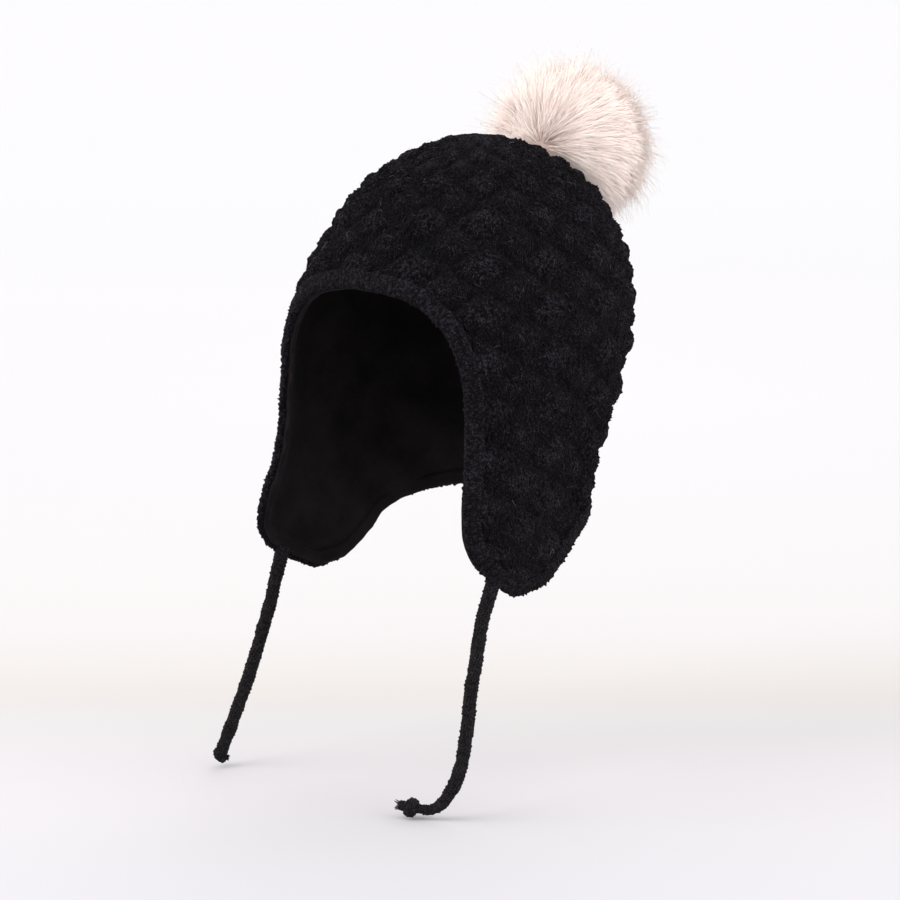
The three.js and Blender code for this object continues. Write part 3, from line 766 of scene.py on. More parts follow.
band = {
    "width": 0.0105,
    # inset of the outer and the inner side, radius of the edge and of the shoulders, distance from
    # the rim where the strip begins and ends
    "knitStrip": (0.0006, 0.0048, 0.0021, 0.0019, 0.0, 0.0105),
    "fleeceRoll": (0.0044, 0.0080, 0.0018, 0.0016, 0.0002, 0.0082),
    "ribPitch": 0.0027,
    "ribRelief": 0.0012,
    "pointsPerRib": 4,
    "sectionStep": 0.0016,
    "courseHeight": 0.0022,
    "sagDepth": 0.0003,
    "sagRates": (23, 7),
    "rollStations": 720,
    # lumps of the fleece roll's nap: height, stations along the rim and points round the section
    "napRelief": 0.0005,
    "napAlong": 5,
    "napRound": 4,
}


# Crossing sine waves: their product is 0 in a crease, and its size, flattened by a power, is the puff
def creaseWaves(around, down):
    return np.sin(np.pi * (around + down)) * np.sin(np.pi * (around - down))


def knitSurface(turn, length, across, course, wrap):
    # the lattice wanders sideways and up by waves of two lengths, less near the crown's top
    drift = knit["wander"] * np.minimum(1, length / knit["wanderFade"])
    sideways, upward = (drift * sum(np.sin(downRate * length + roundRate * turn + start)
                                    for downRate, roundRate, start in knit[waves])
                        for waves in ("sidewaysWaves", "upwardWaves"))
    turn, length = turn + sideways / hat["halfDepth"], length + upward
    root = rootAtLength(length)
    point = outerPoint(turn, root)
    normal = outwardNormal(turn, root)
    backward = (1 - np.cos(turn)) / 2
    relief = knit["reliefAtFront"] + (knit["reliefAtBack"] - knit["reliefAtFront"]) * backward
    crossing = creaseWaves(turn / (2 * np.pi) * knit["diamondsAround"], length / knit["diamondHeight"])
    crease = np.minimum(1, length / knit["reliefFade"]) * (1 - np.abs(crossing) ** knit["puffPower"])
    inset = relief * crease
    purl = smooth(-knit["purlBlend"], knit["purlBlend"], -crossing)
    # purl nubs are lumps without columns, about a stitch wide
    lump = patchy(1.5 * across, course, 1.5 * wrap, 5)
    stitch = knit["stockingRelief"] * (1 - purl) * (stitchNub(across, course, wrap, 3) - nubLevel)
    stitch += knit["purlRelief"] * purl * (lump - 0.5)
    stitch += knit["roughness"] * chance.normal(size=len(across))
    stitch *= np.minimum(1, length / knit["stitchFade"])
    # the cloth is uneven by two products of slanting waves, the second one finer
    down = length / knit["diamondHeight"]
    wave = np.sin(3 * turn + 2.1 * down) * np.sin(5 * turn - 1.3 * down + 1) \
        + 0.6 * np.sin(11 * turn + 3.3 * down + 2) * np.sin(2.7 * down - 7 * turn)
    rimGap = np.full(turn.shape, 1.0)
    low = length > knit["clearOfRim"]
    rimGap[low] = distanceToRim(point[low])
    rimGap = np.where(root < np.interp(np.abs(turn), *rimHalf), rimGap, -rimGap)
    tuck = 1 - smooth(band["width"] - knit["tuckUnder"], band["width"] + knit["tuckBeyond"], rimGap)
    inset = inset * (1 - knit["tuckFlattens"] * tuck) + knit["unevenness"] * wave * (1 - tuck)
    inset = inset + knit["tuckDepth"] * tuck
    return point + normal * (stitch - inset)[:, None], normal, purl, crease, rimGap


half = rimAlong >= 0
rimHalf = (np.r_[rimTurn[half], np.pi + 1], np.r_[rimRoot[half], rimRoot[half][-1]])
rowStep = knit["diamondHeight"] / knit["coursesPerDiamond"] / 2
lastRow = int(meridianLength[-1] / rowStep)
starts = [zone[1] for zone in knit["zones"]] + [lastRow]
columnsOf = [zone[0] * knit["pointsPerStitch"] for zone in knit["zones"]]
turnSets, rowSets, acrossSets, wrapSets, offsets, count = [], [], [], [], [], 1
for columns, first, nextFirst in zip(columnsOf, starts[:-1], starts[1:]):
    row, column = np.meshgrid(np.arange(first, nextFirst), np.arange(columns), indexing="ij")
    turnSets.append((column.ravel() / columns - 0.5) * 2 * np.pi)
    rowSets.append(row.ravel())
    acrossSets.append(column.ravel() / knit["pointsPerStitch"])
    wrapSets.append(np.full(row.size, columns / knit["pointsPerStitch"]))
    offsets.append(count)
    count += row.size
turn, row, across, wrap = (np.concatenate(sets) for sets in (turnSets, rowSets, acrossSets, wrapSets))
points, normals, purl, crease, rimGap = knitSurface(turn, row * rowStep, across, row / 2, wrap)
points = np.vstack([[0, 0, hat["wall"] - knit["topSunk"]], points])
normals = np.vstack([[0, 0, 1.0], normals])
purl, crease, rimGap = (np.r_[values[:1], values] for values in (purl, crease, rimGap))

# faces of each zone, of the steps between zones, where the stitches double, and round the top
faceSets, cornerSets = [], []
for zone, columns in enumerate(columnsOf):
    first, nextFirst = starts[zone], starts[zone + 1]
    quads, places = gridFaces(nextFirst - first, columns)
    faceSets.append(quads + offsets[zone])
    cornerSets.append(np.stack([places[..., 0] / knit["pointsPerStitch"],
                                (places[..., 1] + first) / 2], -1))
    if zone + 1 < len(columnsOf):
        column = np.arange(columns)
        right = (column + 1) % columns
        upper = offsets[zone] + (nextFirst - first - 1) * columns
        lower = offsets[zone + 1]
        wide = 2 * columns
        a, b = upper + column, upper + right
        c, d, e = lower + 2 * column, lower + 2 * column + 1, lower + (2 * column + 2) % wide
        u, v = column / knit["pointsPerStitch"], (nextFirst - 1) / 2
        q = 1 / knit["pointsPerStitch"]
        for faces, shifts in ((np.stack([a, c, d], -1), ((0, 0), (0, 0.5), (0.5, 0.5))),
                              (np.stack([a, d, b], -1), ((0, 0), (0.5, 0.5), (1, 0))),
                              (np.stack([b, d, e], -1), ((1, 0), (0.5, 0.5), (1, 0.5)))):
            faceSets.append(faces)
            cornerSets.append(np.stack([np.stack([u + s * q, np.full(columns, v + t)], -1)
                                        for s, t in shifts], 1))
column = np.arange(columnsOf[0])
faceSets.append(np.stack([np.zeros_like(column), 1 + column, 1 + (column + 1) % columnsOf[0]], -1))
cornerSets.append(np.stack([np.stack([column / knit["pointsPerStitch"] + s, np.full(len(column), t)], -1)
                            for s, t in ((0.1, 0.0), (0, 0.5), (0.25, 0.5))], 1))

# each point's normal is the sum of its faces' normals, over both halves, so that no seam shows
pointNormals = np.zeros_like(points)
for faces in faceSets:
    corner = points[faces]
    faceNormal = np.cross(corner[:, 1] - corner[:, 0], corner[:, -1] - corner[:, 0])
    for i in range(faces.shape[1]):
        for axis in range(3):
            pointNormals[:, axis] += np.bincount(faces[:, i], faceNormal[:, axis], len(points))
pointNormals = unit(pointNormals)

# the cloth ends inside the edge band, and its two halves meet at the middle of front and back
turnOf = np.r_[0, turn]
clothEnd = band["width"] - knit["tuckUnder"] - knit["tuckSpare"]
for sideName, wanted in (("Left", 1), ("Right", -1)):
    keptFaces, keptCorners = [], []
    for faces, corners in zip(faceSets, cornerSets):
        inside = (rimGap[faces] > clothEnd).all(axis=1)
        angle = turnOf[faces]
        angle = np.where((faces == 0) | (np.abs(angle) > np.pi - 1e-9), np.nan, angle)
        mine = np.sign(np.nanmean(angle, axis=1)) == wanted
        keptFaces.append(faces[inside & mine])
        keptCorners.append(corners[inside & mine])
    used, order = np.unique(np.concatenate([faces.ravel() for faces in keptFaces]), return_inverse=True)
    renamed, start = [], 0
    for faces in keptFaces:
        renamed.append(order[start:start + faces.size].reshape(faces.shape))
        start += faces.size
    piece = meshFrom(f"diamondKnit{sideName}", points[used], renamed)
    piece.data.normals_split_custom_set_from_vertices(pointNormals[used].tolist())
    addStitchMap(piece, keptCorners)
    addPointValue(piece, "purl", purl[used])
    addPointValue(piece, "crease", crease[used])
    dress(piece, blackWool, "black_knit", "knit_shell")
    print("knit", sideName, len(used), "points")


# Edge band: a knit strip on the outer side, raised by its ribs, and the lining's smooth rolled edge
# on the inner side, both as rounded sections carried round the rim
ribCount = round(rimLength / band["ribPitch"])
stations = ribCount * band["pointsPerRib"]


# Rounded outline from the top of the outer side, round the edge, to the top of the inner side:
# distance from the edge, inset, and the outward direction in that plane
def bandOutline(outer, inner, edge, shoulder, first, top):
    corners = [((top - shoulder, outer + shoulder), shoulder, 0, 90, 4),
               ((first + edge, outer + edge), edge, 90, 180, 4),
               ((first + edge, inner - edge), edge, 180, 270, 4),
               ((top - shoulder, inner - shoulder), shoulder, 270, 360, 4)]
    rows = []
    for (a, b), radius, start, end, steps in corners:
        angle = np.radians(np.linspace(start, end, steps))
        rows.append(np.stack([a + radius * np.cos(angle), b - radius * np.sin(angle),
                              np.cos(angle), -np.sin(angle)], -1))
    rounded = np.vstack(rows)
    filled = []
    for here, after in zip(rounded, np.roll(rounded, -1, axis=0)):
        steps = max(1, int(np.ceil(np.hypot(*(after[:2] - here[:2])) / band["sectionStep"])))
        filled.append(here + (after - here) * (np.arange(steps)[:, None] / steps))
    return np.vstack(filled)


# The outline, grown by each point's height, set up in the plane of each station of the rim
def carriedRound(outline, stations, raised):
    rimNormal, rimInward, rimAt = rimStations(stations)[2:]
    turns = np.arange(stations) / stations * 2 * np.pi
    # the band sags in and out by two waves round the rim
    quick, slow = band["sagRates"]
    sag = band["sagDepth"] * np.sin(turns * quick) * np.sin(turns * slow + 1)
    inPlane = outline[:, None, :2] + outline[:, None, 2:] * raised[..., None]
    return (rimAt[None] + rimInward[None] * inPlane[..., :1]
            - rimNormal[None] * (inPlane[..., 1:] + sag[None, :, None])).reshape(-1, 3)


outline = bandOutline(*band["knitStrip"])
sectionSteps = np.hypot(*(np.roll(outline[:, :2], -1, axis=0) - outline[:, :2]).T)
sectionReached = np.r_[0, np.cumsum(sectionSteps)]
across = np.arange(stations)[None, :] / band["pointsPerRib"]
course = sectionReached[:-1, None] / band["courseHeight"]
raised = band["ribRelief"] * (stitchNub(across, course, ribCount, 8) - nubLevel)
raised += knit["roughness"] * chance.normal(size=raised.shape)
quads, places = gridFaces(len(outline), stations, True, True)
rowPlace = sectionReached[places[..., 1].astype(int)] / band["courseHeight"]
corners = np.stack([places[..., 0] / band["pointsPerRib"], rowPlace], -1)
rimBand = meshFrom("ribbedEdgeBand", carriedRound(outline, stations, raised), [quads])
addStitchMap(rimBand, [corners])
dress(rimBand, ribWool, "black_rib", "rim_band")
print("band", ribCount, "ribs,", 2 * len(quads), "triangles")

outline = bandOutline(*band["fleeceRoll"])
stations, napAlong = band["rollStations"], band["napAlong"]
nap = patchy(np.arange(stations)[None, :] / napAlong, np.arange(len(outline))[:, None] / band["napRound"],
             stations / napAlong, 21)
quads = gridFaces(len(outline), stations, True, True)[0]
roll = meshFrom("fleeceEdgeRoll", carriedRound(outline, stations, band["napRelief"] * (nap - 0.5)), [quads])
dress(roll, rolledFleece, "black_fleece", "rim_band")


# Fleece lining: two smooth walls from the crown to a line inside the edge band
lining = {
    "outerInset": 0.0065,
    "innerInset": 0.0073,
    "insideBand": 0.005,
    "columns": 360,
    "rows": 26,
    "averaged": 15,
    "creaseHeight": 0.0006,
    # creases round the head, how far and how fast they bend on the way down, and where they begin
    "creaseRate": 9,
    "creaseBend": 3,
    "creaseBendRate": 60,
    "creasesFrom": 0.7,
}
turn, root, normal, inward = rimStations(lining["columns"])[:4]
small = 1e-3
alongTurn = (outerPoint(turn + small, root) - outerPoint(turn - small, root)) / (2 * small)
alongRoot = (outerPoint(turn, root + small) - outerPoint(turn, root - small)) / (2 * small)
frames = np.stack([alongTurn, alongRoot, normal], -1)
shift = np.linalg.solve(frames, (inward * lining["insideBand"])[..., None])[..., 0]
# running mean of the shifts, so that the columns keep their order round the head
reachBy = lining["averaged"] // 2
shift = np.mean([np.roll(shift, step, axis=0) for step in range(-reachBy, reachBy + 1)], axis=0)
turn, root = turn + shift[:, 0], root + shift[:, 1]
share = np.linspace(0, 1, lining["rows"] + 1)[1:]
endLength = np.interp(root, meridianRoot, meridianLength)
length = share[:, None] * endLength[None, :]
rowTurn = np.broadcast_to(turn, length.shape)
rowRoot = rootAtLength(length)
bent = lining["creaseBend"] * np.sin(length * lining["creaseBendRate"])
crease = np.sin(rowTurn * lining["creaseRate"] + bent) * smooth(lining["creasesFrom"], 1, share)[:, None]
outerWall = wallPoint(rowTurn, rowRoot, np.full(length.shape, lining["outerInset"]))
innerWall = wallPoint(rowTurn, rowRoot, lining["innerInset"] + lining["creaseHeight"] * crease)
outerTop, innerTop = ([0, 0, hat["wall"] - lining[key]] for key in ("outerInset", "innerInset"))
wallPoints = np.vstack([[outerTop], outerWall.reshape(-1, 3), [innerTop], innerWall.reshape(-1, 3)])
quads = 1 + gridFaces(lining["rows"], lining["columns"])[0]
column = np.arange(lining["columns"])
right = (column + 1) % lining["columns"]
cap = np.stack([np.zeros_like(column), 1 + column, 1 + right], -1)
under = 1 + lining["rows"] * lining["columns"]
lowest = 1 + (lining["rows"] - 1) * lining["columns"]
edge = np.stack([lowest + column, under + lowest + column, under + lowest + right, lowest + right], -1)
liningPiece = meshFrom("fleeceLining", wallPoints,
                       [quads, quads[:, ::-1] + under, edge, cap, cap[:, ::-1] + under])
dress(liningPiece, blackFleece, "black_fleece", "fleece_lining")
print("lining made, least column step", round(float(np.degrees(np.diff(turn)).min()), 3), "degrees")


# True where a point lies inside the hat's outer face, grown by a distance
def insideHat(points, grow):
    x, y, z = np.moveaxis(points, -1, 0)
    depth = (hat["wall"] + hat["sidewaysTilt"] * x - z + grow) / hat["depth"]
    root = np.sqrt(np.clip(depth, 0, 1))
    ahead = -(y + hat["halfDepth"] * sectionOf["forward"](root))
    reach = np.where(ahead > 0, sectionOf["front"](root), sectionOf["back"](root)) * hat["halfDepth"]
    wide = sectionOf["width"](root) * hat["halfWidth"]
    return (depth > 0) & ((x / (wide + grow + 1e-6)) ** 2 + (ahead / (reach + grow + 1e-6)) ** 2 < 1)


# Moves each point that is inside the hat along its line from the anchor, back to the outer face
def keptOutside(points, anchor, grow):
    low, high = np.zeros(points.shape[:-1]), np.ones(points.shape[:-1])
    for halving in range(18):
        middle = (low + high) / 2
        within = insideHat(anchor + (points - anchor) * middle[..., None], grow)
        low, high = np.where(within, low, middle), np.where(within, middle, high)
    return np.where(insideHat(points, grow)[..., None], anchor + (points - anchor) * low[..., None], points)


# Fur pompom: a core under two layers of combed fur and a layer of long guard hairs
pompom = {
    "centre": (0.0, 0.080, -0.0007),
    "whorl": (0.285, -0.958, -0.022),
    "parting": (0.327, -0.943, 0.073),
    "groove": (-0.32, -0.843, 0.436),
    "coreRadius": 0.0412,
    "rootRadius": 0.036,
    "reach": 0.0475,
    # share of reach lost on the side that faces this way
    "flatter": (0.62, 0.72, 0.30),
    "flatterShare": 0.06,
    "innerStrands": 8600,
    "outerStrands": 8800,
    "guardStrands": 3600,
    "atWhorl": 0.12,
    "sweep": 0.9,
    "tufts": 520,
    "tuftPull": 0.2,
    "tuftJitter": 0.05,
    "tuftUneven": 0.03,
    "hairJitter": 0.06,
    "whorlSpread": 0.3,
    "stray": 0.055,
    "droop": 0.003,
    "grooveDepth": 0.13,
    "grooveWidth": 0.035,
    # from the centre to a point clear of the knit, towards which hairs inside the hat are drawn back
    "anchorShift": (0, 0.012, 0.006),
    # share of the sweep at the whorl, and its least and extra share from hair to hair
    "leanAtWhorl": 0.4,
    "leanUneven": (0.85, 0.3),
    # powers by which the lean, the pull to the tuft and the stray grow along a hair
    "growth": (1.3, 1.5, 2),
    # least and extra height of the hairs pressed to the knit, and the power of their spread
    "pressed": (0.0002, 0.0038, 1.5),
    "coreRows": 64,
    "coreColumns": 128,
    # power by which the core follows the groove and the flatter side, and its depth in the knit
    "coreFollows": 1.6,
    "coreSunk": 0.0030,
    "coreAlong": 0.2,
    # darkest painted shade and width of the parting on the core and on hairs, and share of hairs that take
    # it
    "coreShadeAtParting": (0.45, 0.03),
    "hairShadeAtParting": (0.5, 0.018),
    "hairsShadedAtParting": 0.4,
    # least and extra share of thickness from hair to hair
    "thicknessUneven": (0.8, 0.4),
    "guardRoot": 0.039,
    # least and extra reach of a guard hair, and the power that keeps most of them short
    "guardReach": (1.0, 0.27, 2.2),
    # sweep and pull of the guard hairs as shares of the fur's
    "guardSweep": 1.25,
    "guardPull": 0.5,
    "guardThickness": (0.00009, 0.00009, 0.00007, 0.00005, 0),
    # share of the guard hairs that are dark, and their least and extra tint
    "guardTint": (0.14, 0.3, 0.5),
}
pompomCentre = np.array(pompom["centre"])
pompomAnchor = pompomCentre + np.array(pompom["anchorShift"])
whorl, parting, grooveWay, flatWay = (unit(np.array(pompom[key]))
                                      for key in ("whorl", "parting", "groove", "flatter"))


# Directions spread evenly by the golden angle, each moved a little
def evenDirections(count, jitter):
    level = 1 - 2 * (np.arange(count) + 0.5) / count
    spin = np.arange(count) * np.pi * (3 - np.sqrt(5))
    flat = np.sqrt(1 - level ** 2)
    spread = np.stack([flat * np.cos(spin), flat * np.sin(spin), level], -1)
    return unit(spread + chance.normal(size=(count, 3)) * jitter)


tuftWays = evenDirections(pompom["tufts"], pompom["tuftJitter"])
tuftReach = 1 + pompom["tuftUneven"] * chance.normal(size=pompom["tufts"])


# 1 where a direction meets the given way, falling off by a bell curve over the width
def nearTo(ways, way, width):
    return np.exp(-((1 - ways @ way) / width) ** 2)


# Share of the full reach in each direction: less in the groove between two locks, and less on the
# flatter side
def bodyShare(ways):
    dent = 1 - pompom["grooveDepth"] * nearTo(ways, grooveWay, pompom["grooveWidth"])
    return dent * (1 - pompom["flatterShare"] * smooth(-0.3, 1, ways @ flatWay))


# Each hair starts under the surface, leans away from the whorl by the sweep and towards its tuft, and
# its distance from the centre eases out to its own reach. Returns the paths and the start directions
def hairPaths(count, rootRadius, reach, sweep, pull, points):
    start = evenDirections(count, pompom["hairJitter"])
    extra = int(count * pompom["atWhorl"])
    spread = chance.normal(size=(extra, 3)) * pompom["whorlSpread"]
    start[chance.permutation(count)[:extra]] = unit(whorl + spread)
    away = start - whorl * (start @ whorl)[:, None]
    far = np.linalg.norm(away, axis=1)
    away = away / np.maximum(far, 1e-6)[:, None]
    nearest = np.argmax(start @ tuftWays.T, axis=1)
    toTuft = tuftWays[nearest] - start
    t = np.linspace(0, 1, points)
    least, more = pompom["leanUneven"]
    lean = pompom["leanAtWhorl"] + (1 - pompom["leanAtWhorl"]) * far
    lean = sweep * lean * (least + more * chance.random(count))
    stray = chance.normal(size=(count, 3)) * pompom["stray"]
    leaning, pulled, strayed = (t[None, :, None] ** power for power in pompom["growth"])
    way = unit(start[:, None] + (away * lean[:, None])[:, None] * leaning
               + toTuft[:, None] * pull * pulled + stray[:, None] * strayed)
    ease = 1 - (1 - t) ** 2
    ownReach = reach * tuftReach[nearest] * bodyShare(way[:, -1])
    distance = rootRadius + (ownReach - rootRadius)[:, None] * ease[None, :]
    paths = pompomCentre + way * distance[..., None]
    paths[..., 2] -= pompom["droop"] * (t ** 2)[None, :] * (0.5 + chance.random(count))[:, None]
    # hairs pressed to the knit lie at heights of their own, so that the fur's edge there is ragged
    least, more, power = pompom["pressed"]
    return keptOutside(paths, pompomAnchor, least + more * chance.random((count, 1)) ** power), start


coreRows, coreColumns = pompom["coreRows"], pompom["coreColumns"]
level = np.linspace(0, np.pi, coreRows + 2)[1:-1]
spin = np.linspace(0, 2 * np.pi, coreColumns + 1)[:-1]
ways = np.stack([np.sin(level)[:, None] * np.sin(spin), -np.sin(level)[:, None] * np.cos(spin),
                 np.cos(level)[:, None] * np.ones_like(spin)], -1).reshape(-1, 3)
ways = np.vstack([[[0, 0, 1.0]], ways, [[0, 0, -1.0]]])
coreReach = pompom["coreRadius"] * bodyShare(ways)[:, None] ** pompom["coreFollows"]
core = keptOutside(pompomCentre + ways * coreReach, pompomAnchor, -pompom["coreSunk"])
column = np.arange(coreColumns)
right = (column + 1) % coreColumns
lowest = 1 + (coreRows - 1) * coreColumns
corePiece = meshFrom("pompomCore", core, [
    1 + gridFaces(coreRows, coreColumns)[0], np.stack([np.zeros_like(column), 1 + column, 1 + right], -1),
    np.stack([np.full_like(column, len(core) - 1), lowest + right, lowest + column], -1)])
addPointValue(corePiece, "along", np.full(len(core), pompom["coreAlong"]))
addPointValue(corePiece, "tint", chance.random(len(core)))
# painted shade on the core at the parting, where the fur meets the knit
darkest, partingWidth = pompom["coreShadeAtParting"]
addPointValue(corePiece, "shade", darkest * nearTo(ways, parting, partingWidth))

# the shade colour is the painted shade of the parting where the fur meets the knit
blushFur = hairMaterial("blushDyedLongFur", {
    "root": "#fde6dc", "middle": "#feede5", "middlePlace": 0.4, "tip": "#fff8f4", "tint": "#f9e1d7",
    "tintShare": 0.3, "shade": "#8c6a5c", "roughness": 0.6, "specular": 0.2, "sheen": 0.2,
})
guardFur = hairMaterial("blushDyedGuardHair", {
    "root": "#fbe8df", "middle": "#f6e8e1", "middlePlace": 0.5, "tip": "#b9aaa4", "tint": "#78665f",
    "tintShare": 0.9, "shade": "#8c6a5c", "roughness": 0.5, "specular": 0.35, "sheen": 0.2,
})


# Share of the parting's painted shade, a brown that also stands for darker hairs there, in hairs that start
# near it
def paintedPartingShade(start):
    darkest, width = pompom["hairShadeAtParting"]
    return darkest * nearTo(start, parting, width) * (chance.random(len(start)) < pompom["hairsShadedAtParting"])


# Thickness along each hair, by a share that differs from hair to hair
def unevenThickness(thickness, count):
    least, more = pompom["thicknessUneven"]
    return np.array(thickness)[None, :] * (least + more * chance.random((count, 1)))


layers = [
    # name, strands, radius at the root, reach shares, thickness at each point along the hair
    ("pompomInnerFur", pompom["innerStrands"], pompom["rootRadius"], (0.90, 0.09),
     (0.0002, 0.00022, 0.00016, 0)),
    ("pompomOuterFur", pompom["outerStrands"], pompom["rootRadius"] + 0.003, (0.94, 0.13),
     (0.00012, 0.00014, 0.00012, 0.00008, 0)),
]
for name, count, rootRadius, (leastReach, spreadReach), thickness in layers:
    reach = pompom["reach"] * (leastReach + spreadReach * chance.random(count))
    paths, start = hairPaths(count, rootRadius, reach, pompom["sweep"], pompom["tuftPull"], len(thickness))
    radius = unevenThickness(thickness, count)
    layer = strandsFrom(name, paths, radius, chance.random(count) ** 2, paintedPartingShade(start), pompomCentre)
    dress(layer, blushFur, "blush_fur", "fur_pompom")

count = pompom["guardStrands"]
least, more, power = pompom["guardReach"]
reach = pompom["reach"] * (least + more * chance.random(count) ** power)
paths, start = hairPaths(count, pompom["guardRoot"], reach, pompom["sweep"] * pompom["guardSweep"],
                         pompom["tuftPull"] * pompom["guardPull"], len(pompom["guardThickness"]))
radius = unevenThickness(pompom["guardThickness"], count)
darkShare, least, more = pompom["guardTint"]
tint = (chance.random(count) < darkShare) * (least + more * chance.random(count))
guardHair = strandsFrom("pompomGuardHair", paths, radius, tint, paintedPartingShade(start))
dress(corePiece, blushFur, "blush_fur", "fur_pompom")
dress(guardHair, guardFur, "blush_fur")
print("pompom furred")


# Fuzz on the knit: short loose fibres over the stitches, and a few pale threads of lint
fuzz = {
    "fibres": 4000,
    "length": 0.0019,
    # least and extra share of that length, and the power that keeps most fibres short
    "uneven": (0.5, 2.4, 3),
    "radius": 0.00006,
    # how far the roots are scattered and sunk, and how far the fuzz stays from the crown's top
    "scattered": 0.0004,
    "sunk": 0.0004,
    "clearOfTop": 0.012,
    "threads": 18,
    # turn in degrees and share of the depth where two threads lie at the forehead
    "placed": [(-11, 0.187), (-25, 0.245)],
    "threadPoints": 12,
    "threadStep": 0.0007,
    "threadRadius": 0.00006,
    "threadLift": 0.0009,
    # how much a thread's heading turns at each step, and the range of its first heading
    "threadTurns": (0.75, 6.3),
}
fromTop = np.linalg.norm(points[:, :2], axis=1)
fuzzy = np.flatnonzero((rimGap > band["width"]) & (fromTop > fuzz["clearOfTop"]))
picked = chance.choice(fuzzy, fuzz["fibres"])
count = len(picked)
least, more, power = fuzz["uneven"]
lengths = fuzz["length"] * (least + chance.random(count) ** power * more)
tangent = unit(np.cross(normals[picked], chance.normal(size=(count, 3))))
bend = unit(np.cross(normals[picked], chance.normal(size=(count, 3))))
t = np.linspace(0, 1, 4)
base = points[picked] + chance.normal(size=(count, 3)) * fuzz["scattered"] - normals[picked] * fuzz["sunk"]
paths = (base[:, None] + lengths[:, None, None] * (
    normals[picked][:, None] * (0.7 * t - 0.35 * t ** 2)[None, :, None]
    + tangent[:, None] * (0.8 * t)[None, :, None] + bend[:, None] * (0.6 * t ** 2)[None, :, None]))
radius = fuzz["radius"] * np.array([1.0, 0.9, 0.6, 0])[None, :] * np.ones((count, 1))
fuzzPiece = strandsFrom("knitFuzz", paths, radius, chance.random(count) ** 2)
dress(fuzzPiece, fuzzWool, "black_knit")

# each thread is a walk over the hat's face whose heading turns by chance
placed = np.array(fuzz["placed"])
placedAt = outerPoint(np.radians(placed[:, 0]), np.sqrt(placed[:, 1]))
nearby = [int(np.argmin(((points - at) ** 2).sum(1))) for at in placedAt]
picked = np.r_[nearby, chance.choice(fuzzy, fuzz["threads"] - len(nearby))]
count, steps = fuzz["threads"], fuzz["threadPoints"]
turning, firstTurn = fuzz["threadTurns"]
heading = np.cumsum(chance.normal(size=(count, steps)) * turning, axis=1)
heading += chance.random((count, 1)) * firstTurn
sideways = unit(np.cross(normals[picked], (0.1, 0.2, 1.0)))
upward = np.cross(sideways, normals[picked])
walk = np.cumsum(np.cos(heading), axis=1)[..., None] * sideways[:, None] \
    + np.cumsum(np.sin(heading), axis=1)[..., None] * upward[:, None]
threads = (points[picked] + normals[picked] * fuzz["threadLift"])[:, None] + walk * fuzz["threadStep"]
radius = np.full((count, steps), fuzz["threadRadius"])
lintPiece = strandsFrom("lintThreads", threads, radius, chance.random(count))
dress(lintPiece, lintWool, "black_knit")
print("fuzz laid")


# Floor: plain pale paper with painted light and shade: its colour changes softly along the line of sight,
# lighter far off, for how the studio light falls on it
studio = {
    "floorLevel": -0.3545,
    "floorHalf": 40.0,
    "sightWay": (-0.686, 0.728, 0),
    # place along the line of sight from the hat's middle, in metres, and the paper's colour there, with the
    # light and shade painted in
    "paintedFloorLight": [(-0.23, "#bdbcc0"), (-0.06, "#c2bfc2"), (0.06, "#c1bec0"), (0.14, "#bfbdbd"),
              (0.19, "#c0bbb9"), (0.25, "#c2bfbd"), (0.38, "#c5c2c3"), (0.63, "#c6c5c5"),
              (1.18, "#cbcacc"), (1.96, "#d5d4d5"), (2.53, "#dad9db"), (4.42, "#dededf"), (9.0, "#dfdee0")],
    "skyColour": (1.0, 0.995, 1.0, 1.0),
    "skyStrength": 1.32,
    "lightAim": (0, 0, -0.12),
}
paperFrom, paperTo = studio["paintedFloorLight"][0][0], studio["paintedFloorLight"][-1][0]
floorHalf, floorLevel = studio["floorHalf"], studio["floorLevel"]
floorMesh = bpy.data.meshes.new("studioFloor")
floorMesh.from_pydata([(-floorHalf, -floorHalf, floorLevel), (floorHalf, -floorHalf, floorLevel),
                       (floorHalf, floorHalf, floorLevel), (-floorHalf, floorHalf, floorLevel)],
                      [], [(0, 1, 2, 3)])
floor = bpy.data.objects.new("studioFloor", floorMesh)
scene.collection.objects.link(floor)
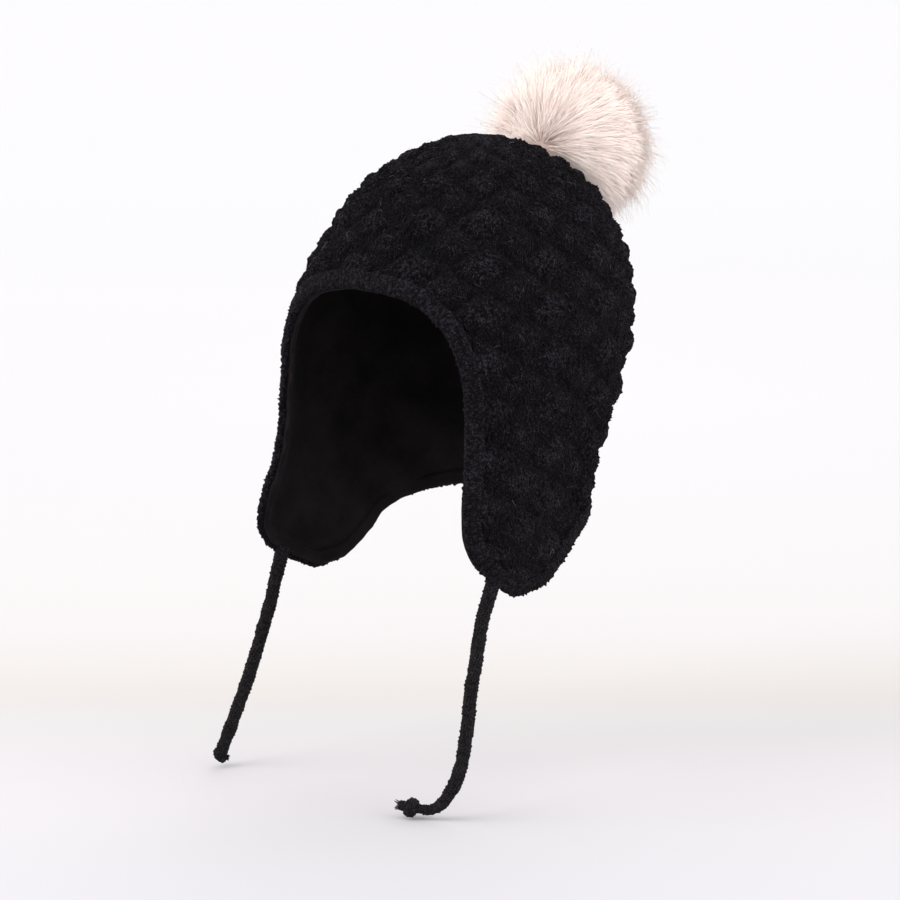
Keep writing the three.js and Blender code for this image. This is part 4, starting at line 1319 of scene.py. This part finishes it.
floorPaper, tree = newMaterial("paperBackdropPaintedLight")
place = addNode(tree, "ShaderNodeTexCoord")
alongSight = addNode(tree, "ShaderNodeVectorMath", {1: studio["sightWay"]}, {0: place.outputs["Object"]},
                     operation="DOT_PRODUCT")
share = addNode(tree, "ShaderNodeMapRange", {1: paperFrom, 2: paperTo}, {0: alongSight.outputs[1]})
paintedFloorLight = addNode(tree, "ShaderNodeValToRGB", links={0: share.outputs[0]})
stops = paintedFloorLight.color_ramp.elements
while len(stops) < len(studio["paintedFloorLight"]):
    stops.new(0.5)
for stop, (at, colour) in zip(stops, studio["paintedFloorLight"]):
    stop.position = (at - paperFrom) / (paperTo - paperFrom)
    stop.color = toLinear(colour)
shader = addNode(tree, "ShaderNodeBsdfPrincipled", {"Roughness": 0.9, "Specular IOR Level": 0.1},
                 {"Base Color": paintedFloorLight.outputs[0]})
addNode(tree, "ShaderNodeOutputMaterial", links={0: shader.outputs[0]})
floor.data.materials.append(floorPaper)
floor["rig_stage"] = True

world = bpy.data.worlds.new("studioWhite")
scene.world = world
world.use_nodes = True
sky = world.node_tree.nodes["Background"]
sky.inputs[0].default_value = studio["skyColour"]
sky.inputs[1].default_value = studio["skyStrength"]

lights = [
    # name, place, width, watts, colour
    ("keyBox", (-0.55, -1.50, 1.15), 1.4, 22.0, (1.0, 0.985, 0.97)),
    ("sideBox", (1.45, 0.30, 0.20), 1.2, 11.5, (1.0, 0.98, 0.97)),
    ("backBox", (-0.70, 1.15, 1.25), 0.9, 5.0, (1.0, 1.0, 1.0)),
]
for name, place, width, watts, colour in lights:
    data = bpy.data.lights.new(name, "AREA")
    data.shape = "SQUARE"
    data.size = width
    data.energy = watts
    data.color = colour
    lamp = bpy.data.objects.new(name, data)
    lamp.location = place
    aim = Vector(studio["lightAim"]) - Vector(place)
    lamp.rotation_euler = aim.to_track_quat("-Z", "Y").to_euler()
    scene.collection.objects.link(lamp)
print("studio lit")

added = [thing.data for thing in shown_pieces() if "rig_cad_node" not in thing]
print("triangles added", sum(len(mesh.loops) - 2 * len(mesh.polygons) for mesh in added))
